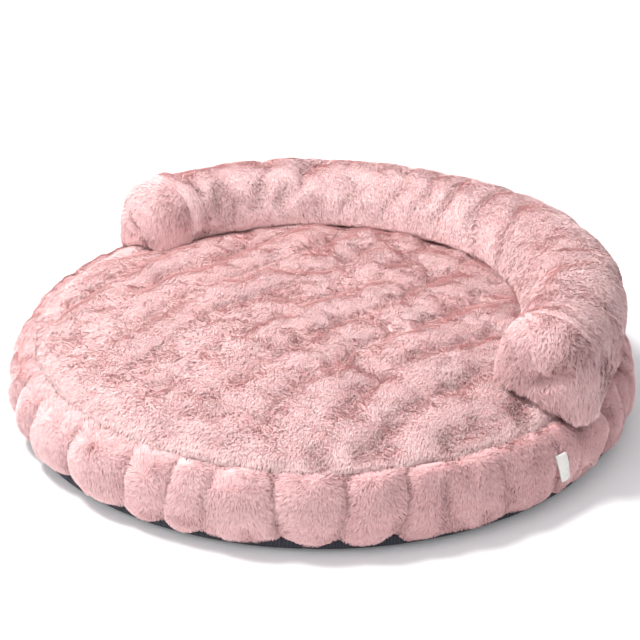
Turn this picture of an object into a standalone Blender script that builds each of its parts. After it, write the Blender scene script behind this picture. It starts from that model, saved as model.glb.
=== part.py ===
"""Round plush dog bed: a crowned base cushion with a gathered side band, and a C-shaped bolster.

Metres, +Z up. The origin is on the floor under the middle of the base, and +Y points to the
rear, where the middle of the bolster lies. The bed opens towards -Y. Azimuths are in degrees,
counted from +X towards +Y.
"""

import math

import bmesh
import bpy
from mathutils import Vector
from mathutils.geometry import delaunay_2d_cdt

# Sewn neighbours lie this close, moving pieces run with this clearance, and the roll lies
# this far inside the walls of the bolster's cover.
SEAM_GAP = 0.0004
RUNNING_GAP = 0.0003
ROLL_GAP = 0.0013

# Base cushion. The top seam sets its size, and the girth and the hem lie out and in from there.
TOP_SEAM_RADIUS = 0.420
TOP_SEAM_HEIGHT = 0.104
GIRTH_BULGE = 0.041
GIRTH_HEIGHT = 0.048
HEM_TUCK = 0.010
HEM_HEIGHT = 0.010
CROWN_RISE = 0.046
CROWN_POWER = 3.0
SHOULDER_POWER = 0.6
PLUSH_THICKNESS = 0.012
HEM_THICKNESS = 0.0075

# Gathers of the side band: one lobe is three columns wide.
LOBES = 40
COLUMNS_PER_LOBE = 3
LOBE_DEPTH = 0.009
HEM_SCALLOP = 0.009

# Soft ribs of the top panel. They run from front to rear, sway together and fade out at the
# seam and at the bolster's foot.
RIB_PITCH = 0.075
RIB_DEPTH = 0.009
RIB_ROUNDNESS = 0.7
RIB_SWAY = 0.010
RIB_SWAY_LENGTH = 0.420
RIB_SWELL_LENGTH = 0.190
RIB_FADE = 0.035
POINTS_PER_RIB = 4
RIB_ROW_PITCH = 0.050

# Puffs of the bolster.
PUFF_DEPTH = 0.005
PUFF_LENGTH = 0.130
PUFF_WIDTH = 0.095

# Bottom panel: flat on the floor inside its edge, then turned up behind the hem.
FLOOR_EDGE_INSET = 0.033
BOTTOM_FABRIC = 0.001
RIM_HEIGHT = 0.023

# Bolster: a stuffed tube along an arc, sewn to the top panel inside its seam.
BOLSTER_SET_IN = 0.065
BOLSTER_HALF_WIDTH = 0.087
BOLSTER_FOOT_INSET = 0.023
BOLSTER_WAIST_HEIGHT = 0.152
BOLSTER_TOP_HEIGHT = 0.222
BOLSTER_SPANS = 28
SEAT_FABRIC = 0.003

# Towards its ends the bolster rises, narrows, leans outward and sags over the side band, and
# its inner foot steps outward.
END_RISE = 0.008
END_NARROWING = 0.010
END_LEAN = 0.024
END_FOOT_STEP = 0.015
END_SAG = 0.030
LEAN_POWER = 3.0

# Its ends are domes, and the middle of each dome hangs low.
END_BULGE = 0.062
END_TIP_HEIGHT = 0.145
END_SEAM_DRAW = 0.006
END_PUCKER = 0.004

# Zip in the rear of the base, between the hem and the bottom panel.
ZIP_HALF_ANGLE = 28.0
ZIP_HEIGHT = 0.0165
TAPE_THICKNESS = 0.0006
TAPE_WIDTH = 0.0078
TAPE_LAP = 0.0030
TOOTH_PITCH = 0.0045
TOOTH_ROOT_WIDTH = 0.0013
TOOTH_THICKNESS = 0.0022
TOOTH_REACH = 0.0009
CHAIN_HALF_WIDTH = 0.0029
BEAD_WIDTH = 0.0014
ARCH_MARGIN_ANGLE = 7.0
ARCH_RAMP_ANGLE = 9.0

# Slider of the zip, and its pull.
SLIDER_LENGTH = 0.0130
SLIDER_WALL = 0.0012
SLIDER_RAIL = 0.0014
BAIL_HALF_LENGTH = 0.0040
BAIL_THICKNESS = 0.0009
BAIL_HALF_WIDTH = 0.0008
PULL_THICKNESS = 0.0011
PULL_ARM = 0.0011
PULL_LENGTH = 0.030
STOP_LENGTH = 0.0030

# Woven label on the side band.
LABEL_WIDTH = 0.018
LABEL_THICKNESS = 0.0008
LABEL_TOP_HEIGHT = 0.077
LABEL_LOW_HEIGHT = 0.037
LABEL_LOBE = -10.5
LABEL_SLANT = 0.008
LABEL_LIFT = 0.003

# Colours of the photographed fabric, as linear red, green and blue.
PLUSH_PINK = (0.79, 0.47, 0.47)
LINING_WHITE = (0.82, 0.80, 0.78)
UNDERSIDE_NAVY = (0.020, 0.021, 0.030)
TAPE_PINK = (0.62, 0.33, 0.34)
LABEL_WHITE = (0.86, 0.85, 0.82)
SLIDER_GREY = (0.55, 0.53, 0.53)

REAR = 90.0
FULL_TURN = 360.0


# Derived sizes
GIRTH_RADIUS = TOP_SEAM_RADIUS + GIRTH_BULGE
HEM_RADIUS = GIRTH_RADIUS - HEM_TUCK
FLOOR_EDGE_RADIUS = HEM_RADIUS - FLOOR_EDGE_INSET
BOLSTER_RADIUS = TOP_SEAM_RADIUS - BOLSTER_SET_IN
COLUMNS = LOBES * COLUMNS_PER_LOBE
COLUMN_ANGLE = FULL_TURN / COLUMNS
PANEL_ANGLE = 2 * COLUMN_ANGLE
BOLSTER_HALF_ANGLE = BOLSTER_SPANS * PANEL_ANGLE / 2
BAND_TOP_HEIGHT = TOP_SEAM_HEIGHT - SEAM_GAP
SEAM_LAND_RADIUS = TOP_SEAM_RADIUS - PLUSH_THICKNESS
WALL_RADIUS = HEM_RADIUS - HEM_THICKNESS - SEAM_GAP
ZIP_RADIUS = WALL_RADIUS - BOTTOM_FABRIC - SEAM_GAP - TAPE_THICKNESS / 2
TAPE_EDGE = CHAIN_HALF_WIDTH + RUNNING_GAP
ARCH_HEIGHT = ZIP_HEIGHT + TAPE_EDGE + TAPE_WIDTH - TAPE_LAP
ZIP_RIM_HEIGHT = ZIP_HEIGHT - TAPE_EDGE - TAPE_WIDTH + TAPE_LAP
SLIDER_DEPTH = TOOTH_THICKNESS + 2 * RUNNING_GAP + 2 * SLIDER_WALL


def clear_scene():
    """Remove whatever the scene holds."""
    for held in list(bpy.data.objects):
        bpy.data.objects.remove(held, do_unlink=True)


def make_material(name, colour, roughness, metallic=0.0):
    """A Principled material of one colour."""
    material = bpy.data.materials.new(name)
    material.use_nodes = True
    shader = material.node_tree.nodes["Principled BSDF"]
    shader.inputs["Base Color"].default_value = (*colour, 1.0)
    shader.inputs["Roughness"].default_value = roughness
    shader.inputs["Metallic"].default_value = metallic
    material.diffuse_color = (*colour, 1.0)
    return material


def polar(radius, azimuth, height):
    """The point at a radius and an azimuth, at a height above the floor."""
    turn = math.radians(azimuth)
    return Vector((radius * math.cos(turn), radius * math.sin(turn), height))


def azimuths(step):
    """All round, with the bolster's ends on two of the values."""
    start = REAR - BOLSTER_HALF_ANGLE
    count = round(FULL_TURN / step)
    return [start + step * index for index in range(count)]


def add_object(name, mesh_builder, material, sharp_angle=50.0):
    """Turn a filled bmesh into a named, smooth-shaded object."""
    bmesh.ops.recalc_face_normals(mesh_builder, faces=mesh_builder.faces)
    mesh = bpy.data.meshes.new(name)
    mesh_builder.to_mesh(mesh)
    mesh_builder.free()
    mesh.shade_smooth()
    mesh.set_sharp_from_angle(angle=math.radians(sharp_angle))
    if material:
        mesh.materials.append(material)
    piece = bpy.data.objects.new(name, mesh)
    bpy.context.scene.collection.objects.link(piece)
    return piece


def shorter_halves(corners):
    """The two triangles of a quad, cut along its shorter diagonal."""
    first, second, third, fourth = corners
    if (first.co - third.co).length < (second.co - fourth.co).length:
        return (first, second, third), (first, third, fourth)
    return (first, second, fourth), (second, third, fourth)


def join_rings(built, rings, closed=False, halved=False):
    """Join rings of points in order. A ring of one point is a pole, which closes that end.

    halved cuts the twisted quads of nested pieces, so that all of them bend alike.
    """
    made = [[built.verts.new(point) for point in ring] for ring in rings]
    pairs = list(zip(made, made[1:]))
    if closed:
        pairs.append((made[-1], made[0]))
    for first, second in pairs:
        count = max(len(first), len(second))
        for index in range(count):
            following = (index + 1) % count
            corners = [first[index % len(first)], first[following % len(first)]]
            corners += [second[following % len(second)], second[index % len(second)]]
            corners = list(dict.fromkeys(corners))
            halves = shorter_halves(corners) if halved and len(corners) == 4 else [corners]
            for half in halves:
                built.faces.new(half)
    return made


def loft(name, rings, material, closed=False, capped=False, halved=False, sharp_angle=50.0):
    """A piece of joined rings.

    closed joins the last ring to the first, and capped fills the two end rings.
    """
    built = bmesh.new()
    made = join_rings(built, rings, closed, halved)
    if capped:
        built.faces.new(made[0])
        built.faces.new(made[-1])
    return add_object(name, built, material, sharp_angle)


def crown(radius):
    """Height of the top panel's plush on the crests of its ribs."""
    share = min(radius / TOP_SEAM_RADIUS, 1.0)
    return TOP_SEAM_HEIGHT + CROWN_RISE * (1.0 - share**CROWN_POWER) ** SHOULDER_POWER


def puff(along, across):
    """How deep the plush sinks between its puffs, from 0 on a crest to 1 in a hollow."""
    along_turn = math.pi * along / PUFF_LENGTH
    across_turn = math.pi * across / PUFF_WIDTH + 0.9 * math.sin(along_turn)
    return 1.0 - abs(math.sin(across_turn)) * (0.55 + 0.45 * abs(math.cos(along_turn)))


def lobe_valley(azimuth):
    """1 in the valley between two lobes of the band, and near 0 on their crests."""
    phase = LOBES * math.radians(azimuth - REAR) / 2
    return 1.0 - abs(math.sin(phase)) ** 0.8


def lobe_strength(azimuth):
    """Gathers are sewn by hand, so their depth varies round the band."""
    return 0.8 + 0.2 * math.sin(math.radians(7 * azimuth)) * math.cos(math.radians(3 * azimuth))


def arch_share(azimuth):
    """1 over the zip, where the hem is cut higher, and 0 away from it."""
    aside = abs((azimuth - REAR + FULL_TURN / 2) % FULL_TURN - FULL_TURN / 2)
    past = (aside - ZIP_HALF_ANGLE - ARCH_MARGIN_ANGLE) / ARCH_RAMP_ANGLE
    past = min(max(past, 0.0), 1.0)
    return 1.0 - past * past * (3.0 - 2.0 * past)


def hem_height(azimuth):
    """Lower edge of the band: scalloped by the gathers, and arched over the zip."""
    arch = arch_share(azimuth)
    scallop = HEM_SCALLOP * lobe_valley(azimuth) * (1.0 - arch)
    return HEM_HEIGHT + (ARCH_HEIGHT - HEM_HEIGHT) * arch + scallop


def band_outer(turn, azimuth):
    """Radius and height of the band's plush: turn 0 is the top seam, 90 the girth, 180 the hem."""
    angle = math.radians(min(turn, FULL_TURN / 4))
    radius = TOP_SEAM_RADIUS + (GIRTH_RADIUS - TOP_SEAM_RADIUS) * math.sin(angle)
    height = GIRTH_HEIGHT + (BAND_TOP_HEIGHT - GIRTH_HEIGHT) * math.cos(angle)
    if turn > FULL_TURN / 4:
        angle = math.radians(turn - FULL_TURN / 4)
        radius = HEM_RADIUS + (GIRTH_RADIUS - HEM_RADIUS) * math.cos(angle)
        height = GIRTH_HEIGHT - (GIRTH_HEIGHT - hem_height(azimuth)) * math.sin(angle)
    gather_share = 0.25 + 0.75 * math.sin(math.radians(turn)) ** 0.6 if turn < 180 else 0.3
    depth = LOBE_DEPTH * gather_share * lobe_strength(azimuth) * lobe_valley(azimuth)
    return radius - depth, height


def band_radius(height, azimuth):
    """Radius of the band's plush at a height between its hem and the top seam."""
    if height > GIRTH_HEIGHT:
        share = (height - GIRTH_HEIGHT) / (BAND_TOP_HEIGHT - GIRTH_HEIGHT)
        return band_outer(math.degrees(math.acos(min(share, 1.0))), azimuth)[0]
    share = (GIRTH_HEIGHT - height) / (GIRTH_HEIGHT - HEM_HEIGHT)
    return band_outer(FULL_TURN / 4 + math.degrees(math.asin(min(share, 1.0))), azimuth)[0]


def band_inner(turn, azimuth):
    """Radius and height of the band's backing, which the inner cushion fills."""
    angle = math.radians(min(turn, FULL_TURN / 4))
    girth = GIRTH_RADIUS - PLUSH_THICKNESS
    radius = SEAM_LAND_RADIUS + (girth - SEAM_LAND_RADIUS) * math.sin(angle)
    height = GIRTH_HEIGHT + (BAND_TOP_HEIGHT - GIRTH_HEIGHT) * math.cos(angle)
    if turn > FULL_TURN / 4:
        angle = math.radians(turn - FULL_TURN / 4)
        hem = HEM_RADIUS - HEM_THICKNESS
        radius = hem + (girth - hem) * math.cos(angle)
        height = GIRTH_HEIGHT - (GIRTH_HEIGHT - hem_height(azimuth)) * math.sin(angle)
    return radius, height


def seat_radii():
    """Radii at which the bolster's seat bends, from its inner foot to the top seam."""
    inner_foot = BOLSTER_RADIUS - BOLSTER_HALF_WIDTH + BOLSTER_FOOT_INSET
    inner_half = (inner_foot + BOLSTER_RADIUS) / 2
    outer_half = (BOLSTER_RADIUS + SEAM_LAND_RADIUS) / 2
    radii = [inner_foot, inner_half, BOLSTER_RADIUS, outer_half]
    return radii + [SEAM_LAND_RADIUS, TOP_SEAM_RADIUS]


def rib_sway(along):
    """How far aside the ribs lie, at a distance along them."""
    return RIB_SWAY * math.sin(math.tau * along / RIB_SWAY_LENGTH)


def rib_hollow(aside, along):
    """How deep the plush sinks beside its ribs: up to 1 between two ribs, 0 on a crest."""
    lane = (aside - rib_sway(along)) / RIB_PITCH
    swell = 0.72 + 0.28 * math.sin(math.tau * (along / RIB_SWELL_LENGTH + 0.37 * round(lane)))
    return swell * (1.0 - abs(math.sin(math.pi * lane)) ** RIB_ROUNDNESS)


def ribbed_point(aside, along):
    """The point of the top panel's plush above a place on the floor."""
    radius = math.hypot(aside, along)
    room = min(TOP_SEAM_RADIUS - radius, max(-along, seat_radii()[0] - radius))
    share = min(max(room / RIB_FADE, 0.0), 1.0)
    height = crown(radius) - RIB_DEPTH * share * rib_hollow(aside, along)
    return Vector((aside, along, height))


def panel_turns():
    """Azimuths of the top panel, as wide apart as the bolster's stations and half that in front."""
    front = round((FULL_TURN - 2 * BOLSTER_HALF_ANGLE) / COLUMN_ANGLE)
    turns = [REAR - BOLSTER_HALF_ANGLE + PANEL_ANGLE * index for index in range(BOLSTER_SPANS)]
    return turns + [REAR + BOLSTER_HALF_ANGLE + COLUMN_ANGLE * index for index in range(front)]


def fill_ribbed(built, edge):
    """Close a ring of the top panel with points on the crests, slopes and valleys of its ribs."""
    pitch = RIB_PITCH / POINTS_PER_RIB
    reach = edge[0].co.xy.length
    lanes = int((reach + RIB_SWAY) / pitch)
    rows = int(reach / RIB_ROW_PITCH)
    corners = list(edge)
    for row in range(-rows, rows + 1):
        along = row * RIB_ROW_PITCH
        for lane in range(-lanes, lanes + 1):
            aside = lane * pitch + rib_sway(along)
            if math.hypot(aside, along) < reach - pitch / 2:
                corners.append(built.verts.new(ribbed_point(aside, along)))
    places = []
    for corner in corners:
        aside, along, _ = corner.co
        places.append(Vector(((aside - rib_sway(along)) / pitch, along / RIB_ROW_PITCH)))
    loop = [(index, (index + 1) % len(edge)) for index in range(len(edge))]
    _, _, faces, sources, _, _ = delaunay_2d_cdt(places, loop, [], 1, 0.0)
    for face in faces:
        built.faces.new([corners[sources[index][0]] for index in face])


def build_top_panel(plush):
    """Crowned, ribbed plush panel, as a shell over the base's inner cushion."""
    turns = panel_turns()
    rings = [[polar(0.0, 0.0, crown(0.0) - PLUSH_THICKNESS)]]
    for share in (0.35, 0.66, 0.87):
        radius = SEAM_LAND_RADIUS * share
        height = crown(radius) - PLUSH_THICKNESS
        rings.append([polar(radius, azimuth, height) for azimuth in turns])
    rings.append([polar(SEAM_LAND_RADIUS, azimuth, TOP_SEAM_HEIGHT) for azimuth in turns])
    for radius in reversed(seat_radii()):
        ring = []
        for azimuth in turns:
            place = polar(radius, azimuth, 0.0)
            ring.append(ribbed_point(place.x, place.y))
        rings.append(ring)
    built = bmesh.new()
    made = join_rings(built, rings)
    fill_ribbed(built, made[-1])
    return add_object("base_top_panel", built, plush)


def build_side_band(plush):
    """Gathered plush band between the top seam and the hem."""
    turns = azimuths(COLUMN_ANGLE)
    outer_turns = (0.0, 32.0, 60.0, 90.0, 135.0, 180.0)
    inner_turns = (180.0, 90.0, 45.0, 0.0)
    rings = []
    for section, section_turns in ((band_outer, outer_turns), (band_inner, inner_turns)):
        for turn in section_turns:
            ring = []
            for azimuth in turns:
                radius, height = section(turn, azimuth)
                ring.append(polar(radius, azimuth, height))
            rings.append(ring)
    return loft("base_side_band", rings, plush, closed=True)


def build_bottom_panel(underside):
    """Dark non-slip panel, turned up behind the hem and, lower, behind the zip."""
    turns = azimuths(COLUMN_ANGLE)
    bend_radius = (FLOOR_EDGE_RADIUS + 2 * WALL_RADIUS) / 3
    outline = ((FLOOR_EDGE_RADIUS, 0.0), (bend_radius, 0.12), (WALL_RADIUS, 0.45))
    outline += ((WALL_RADIUS, 1.0),)

    def ring(radius, rise_share, inset, lift):
        points = []
        for azimuth in turns:
            rim = RIM_HEIGHT + (ZIP_RIM_HEIGHT - RIM_HEIGHT) * arch_share(azimuth)
            points.append(polar(radius - inset, azimuth, rim * rise_share + lift))
        return points

    rings = [[Vector((0.0, 0.0, 0.0))]]
    for radius, rise_share in outline:
        rings.append(ring(radius, rise_share, 0.0, 0.0))
    for radius, rise_share in reversed(outline):
        lift = BOTTOM_FABRIC * (1.0 - rise_share)
        rings.append(ring(radius, rise_share, BOTTOM_FABRIC, lift))
    rings.append([Vector((0.0, 0.0, BOTTOM_FABRIC))])
    return loft("base_bottom_panel", rings, underside, sharp_angle=30.0)


def build_base_cushion(lining):
    """Fibre-filled inner cushion, which fills the base's cover."""
    turns = azimuths(PANEL_ANGLE)
    low_radius = ZIP_RADIUS - SLIDER_DEPTH / 2 - BOTTOM_FABRIC - SEAM_GAP
    floor = BOTTOM_FABRIC + SEAM_GAP
    outline = [(FLOOR_EDGE_RADIUS - BOTTOM_FABRIC - SEAM_GAP, floor)]
    outline += [(low_radius, RIM_HEIGHT / 2), (low_radius, ARCH_HEIGHT)]
    for turn in (90.0, 45.0, 0.0):
        radius, height = band_inner(turn, 0.0)
        outline.append((radius - SEAM_GAP, height - SEAM_GAP * math.cos(math.radians(turn))))
    for share in (0.87, 0.66, 0.35):
        radius = SEAM_LAND_RADIUS * share
        outline.append((radius, crown(radius) - PLUSH_THICKNESS - SEAM_GAP))
    rings = [[Vector((0.0, 0.0, floor))]]
    for radius, height in outline:
        rings.append([polar(radius, azimuth, height) for azimuth in turns])
    rings.append([Vector((0.0, 0.0, crown(0.0) - PLUSH_THICKNESS - SEAM_GAP))])
    return loft("base_inner_cushion", rings, lining)


def core_radius(end_share):
    """Radius of the middle of the tube, which leans outward towards the ends."""
    return BOLSTER_RADIUS + END_LEAN * end_share**LEAN_POWER


def bolster_section(inset, lift, end_share):
    """Radii and heights round the bolster: inner foot, over the top, outer foot, along the seat.

    inset draws the sides and top in, lift raises the seat off the top panel, and end_share
    is 0 in the bolster's middle and 1 at its ends.
    """
    top = BOLSTER_TOP_HEIGHT + END_RISE * end_share**2 - inset
    core = core_radius(end_share)
    half = BOLSTER_HALF_WIDTH - END_NARROWING * end_share**LEAN_POWER - inset
    inner_waist = BOLSTER_WAIST_HEIGHT + lift
    outer_waist = inner_waist - END_SAG * end_share**LEAN_POWER
    seat = seat_radii()
    span = seat[-1] - seat[0]
    seat_shares = [(radius - seat[0]) / span for radius in seat]
    inner_foot = seat[0] + inset
    outer_foot = seat[-1] - inset
    radii = [inner_foot + share * (outer_foot - inner_foot) for share in seat_shares]
    radii[0] += END_FOOT_STEP * end_share**LEAN_POWER
    heights = [crown(radius) + lift for radius in radii]

    def side(foot, foot_height, edge, waist):
        middle = foot + (edge - foot) * math.cos(math.radians(45.0)) ** 0.7
        fall = (waist - foot_height) * math.sin(math.radians(45.0))
        return middle, waist - fall

    points = [(radii[0], heights[0])]
    points.append(side(radii[0], heights[0], core - half, inner_waist))
    for turn in (180.0, 150.0, 120.0, 90.0, 60.0, 30.0, 0.0):
        angle = math.radians(turn)
        waist = inner_waist if turn > FULL_TURN / 4 else outer_waist
        across = math.copysign(abs(math.cos(angle)) ** 0.85, math.cos(angle))
        rise = (top - waist) * abs(math.sin(angle)) ** 0.9
        points.append((core + half * across, waist + rise))
    points.append(side(radii[-1], heights[-1], core + half, outer_waist))
    points += list(zip(reversed(radii[1:]), reversed(heights[1:])))
    return points


def bolster_station(index, inset, lift, puffed=False):
    """One cross-section of the tube in place, numbered from its right-hand end."""
    azimuth = REAR - BOLSTER_HALF_ANGLE + index * PANEL_ANGLE
    end_share = abs(2.0 * index / BOLSTER_SPANS - 1.0)
    section = bolster_section(inset, lift, end_share)
    feet = len(section) - len(seat_radii()) + 1
    at_end = index in (0, BOLSTER_SPANS)
    ring = []
    for place, (radius, height) in enumerate(section):
        if 0 < place < feet:
            sunk = END_SEAM_DRAW if at_end and puffed else 0.0
            if puffed:
                along = BOLSTER_RADIUS * math.radians(azimuth)
                across = place * 2 * BOLSTER_HALF_WIDTH / feet
                sunk += PUFF_DEPTH * puff(along, across) * (not at_end)
            towards = Vector((core_radius(end_share) - radius, BOLSTER_WAIST_HEIGHT - height))
            radius += sunk * towards.x / towards.length
            height += sunk * towards.y / towards.length
        ring.append(polar(radius, azimuth, height))
    return ring


def end_frame(index):
    """The middle of the tube's end, and which way that end faces."""
    azimuth = REAR - BOLSTER_HALF_ANGLE + index * PANEL_ANGLE
    ahead = FULL_TURN / 4 if index else -FULL_TURN / 4
    return polar(core_radius(1.0), azimuth, END_TIP_HEIGHT), polar(1.0, azimuth + ahead, 0.0)


def dome_ring(ring, index, turn, bulge):
    """A ring of the tube's end, shrunk and moved outward along the dome that closes the tube."""
    middle, outward = end_frame(index)
    angle = math.radians(turn)
    shrink = math.cos(angle) ** 0.5
    return [middle + (point - middle) * shrink + outward * bulge * math.sin(angle)
            for point in ring]


def build_bolster_cover(plush):
    """Plush tube, open at its ends, on the top panel's crown."""
    stations = range(BOLSTER_SPANS + 1)
    outer = [bolster_station(index, 0.0, SEAM_GAP, puffed=True) for index in stations]
    lift = SEAM_GAP + SEAT_FABRIC
    inner = [bolster_station(index, PLUSH_THICKNESS, lift) for index in stations]
    return loft("bolster_cover", outer + inner[::-1], plush, closed=True, halved=True)


def build_end_cap(name, index, plush):
    """Domed plush panel over one end of the tube, puckered in its middle."""
    middle, outward = end_frame(index)
    start = outward * SEAM_GAP
    outer = bolster_station(index, 0.0, SEAM_GAP, puffed=True)
    outer = [point + start for point in outer]
    inner = bolster_station(index, PLUSH_THICKNESS, SEAM_GAP + SEAT_FABRIC)
    inner = [point + start for point in inner]
    inner_bulge = END_BULGE - PLUSH_THICKNESS
    turns = (30.0, 55.0, 75.0)
    rings = [[middle + outward * (inner_bulge - END_PUCKER)]]
    rings += [dome_ring(inner, index, turn, inner_bulge) for turn in reversed(turns)]
    rings += [inner, outer]
    rings += [dome_ring(outer, index, turn, END_BULGE) for turn in turns]
    rings.append([middle + outward * (END_BULGE - END_PUCKER)])
    return loft(name, rings, plush, halved=True)


def build_bolster_cushion(lining):
    """Fibre-filled inner roll, which fills the tube and its end caps."""
    lift = SEAM_GAP + SEAT_FABRIC + ROLL_GAP / 2
    inset = PLUSH_THICKNESS + ROLL_GAP
    bulge = END_BULGE - PLUSH_THICKNESS - END_PUCKER - ROLL_GAP
    stations = [bolster_station(index, inset, lift) for index in range(BOLSTER_SPANS + 1)]
    domes = []
    for index in (0, BOLSTER_SPANS):
        middle, outward = end_frame(index)
        dome = [dome_ring(stations[index], index, turn, bulge) for turn in (30.0, 60.0)]
        dome.append([middle + outward * bulge])
        domes.append(dome)
    rings = domes[0][::-1] + stations + domes[1]
    return loft("bolster_inner_cushion", rings, lining, halved=True)


def build_label(fabric):
    """Blank woven label, sewn on by its upper end and lying down the band."""
    azimuth = REAR + LABEL_LOBE * FULL_TURN / LOBES
    crest = azimuth + COLUMN_ANGLE / 2
    rings = []
    for share in (0.0, 0.25, 0.5, 0.75, 1.0):
        height = LABEL_TOP_HEIGHT + (LABEL_LOW_HEIGHT - LABEL_TOP_HEIGHT) * share
        radius = band_radius(height, crest) + SEAM_GAP + LABEL_LIFT * share**2
        shift = LABEL_SLANT * (share - 0.5)
        ring = []
        for depth, aside in ((0, -1), (0, 1), (1, 1), (1, -1)):
            distance = radius + LABEL_THICKNESS * depth
            along = math.degrees((aside * LABEL_WIDTH / 2 + shift) / GIRTH_RADIUS)
            ring.append(polar(distance, azimuth + along, height))
        rings.append(ring)
    return loft("woven_label", rings, fabric, capped=True, sharp_angle=30.0)


def arc_strip(name, radii, heights, azimuth_span, material):
    """A flat strip along an arc about the bed's axis."""
    start, end = azimuth_span
    steps = max(2, round(abs(end - start)))
    rings = []
    for index in range(steps + 1):
        azimuth = start + (end - start) * index / steps
        corners = ((radii[0], heights[0]), (radii[1], heights[0]))
        corners += ((radii[1], heights[1]), (radii[0], heights[1]))
        rings.append([polar(radius, azimuth, height) for radius, height in corners])
    return loft(name, rings, material, capped=True, sharp_angle=30.0)


def chain_angle(length):
    """The angle that a length along the chain takes."""
    return math.degrees(length / ZIP_RADIUS)


def tooth_count():
    """Whole teeth in each row."""
    return int(2 * ZIP_HALF_ANGLE / chain_angle(TOOTH_PITCH))


def chain_start():
    """Azimuth of the first tooth, beside the slider at the closed end."""
    return REAR - tooth_count() * chain_angle(TOOTH_PITCH) / 2


def chain_end():
    """Azimuth past the last tooth of both rows."""
    return chain_start() + (tooth_count() + 0.5) * chain_angle(TOOTH_PITCH)


def build_tapes(fabric):
    """The two woven tapes, one behind the hem and one behind the bottom panel's rim."""
    margin = chain_angle(SLIDER_LENGTH)
    span = (chain_start() - margin, chain_end() + margin)
    radii = (ZIP_RADIUS - TAPE_THICKNESS / 2, ZIP_RADIUS + TAPE_THICKNESS / 2)
    for name, sign in (("zipper_tape_upper", 1), ("zipper_tape_lower", -1)):
        near = ZIP_HEIGHT + sign * TAPE_EDGE
        arc_strip(name, radii, (near, near + sign * TAPE_WIDTH), span, fabric)


def build_tooth_row(name, sign, plastic):
    """A bead with dovetail teeth. The lower row sits half a pitch further, so the two mesh."""
    pitch = chain_angle(TOOTH_PITCH)
    tip_width = TOOTH_PITCH - TOOTH_ROOT_WIDTH - 2 * RUNNING_GAP
    root = chain_angle(TOOTH_ROOT_WIDTH) / 2
    tip = chain_angle(tip_width) / 2
    shift = pitch * (0.5 if sign < 0 else 0.0)
    edge_height = ZIP_HEIGHT + sign * CHAIN_HALF_WIDTH
    root_height = ZIP_HEIGHT + sign * (CHAIN_HALF_WIDTH - BEAD_WIDTH)
    tip_height = ZIP_HEIGHT - sign * TOOTH_REACH
    outside = ZIP_RADIUS + TOOTH_THICKNESS / 2
    inside = ZIP_RADIUS - TOOTH_THICKNESS / 2
    built = bmesh.new()

    def vertex(azimuth, height):
        return built.verts.new(polar(outside, azimuth, height))

    edge = vertex(chain_start() + shift, edge_height)
    left = vertex(chain_start() + shift, root_height)
    for index in range(tooth_count()):
        middle = chain_start() + shift + (index + 0.5) * pitch
        tooth_left = vertex(middle - root, root_height)
        tooth_right = vertex(middle + root, root_height)
        tips = [vertex(middle - tip, tip_height), vertex(middle + tip, tip_height)]
        next_edge = vertex(middle + pitch / 2, edge_height)
        next_left = vertex(middle + pitch / 2, root_height)
        built.faces.new((edge, next_edge, next_left, tooth_right, tooth_left, left))
        built.faces.new((tooth_left, tooth_right, tips[1], tips[0]))
        edge = next_edge
        left = next_left
    grown = bmesh.ops.extrude_face_region(built, geom=list(built.faces))
    for moved in grown["geom"]:
        if isinstance(moved, bmesh.types.BMVert):
            moved.co.x *= inside / outside
            moved.co.y *= inside / outside
    return add_object(name, built, plastic, sharp_angle=30.0)


def block(name, low, high, material=None):
    """A plain box between two corners, in the frame of the slider."""
    built = bmesh.new()
    bmesh.ops.create_cube(built, size=1.0)
    low = Vector(low)
    high = Vector(high)
    for corner in built.verts:
        for axis in range(3):
            corner.co[axis] = low[axis] if corner.co[axis] < 0 else high[axis]
    return add_object(name, built, material)


def prism(name, outline, depths, material=None):
    """An outline of (along, up) points, made solid between two depths across the chain."""
    rings = [[Vector((along, depth, up)) for along, up in outline] for depth in depths]
    return loft(name, rings, material, capped=True, sharp_angle=30.0)


def cut(piece, tool, name, operation="DIFFERENCE"):
    """Give the piece a Boolean with a hidden tool that moves with it."""
    tool.hide_render = True
    tool.display_type = "WIRE"
    tool.parent = piece
    boolean = piece.modifiers.new(name, "BOOLEAN")
    boolean.operation = operation
    boolean.object = tool


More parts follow.
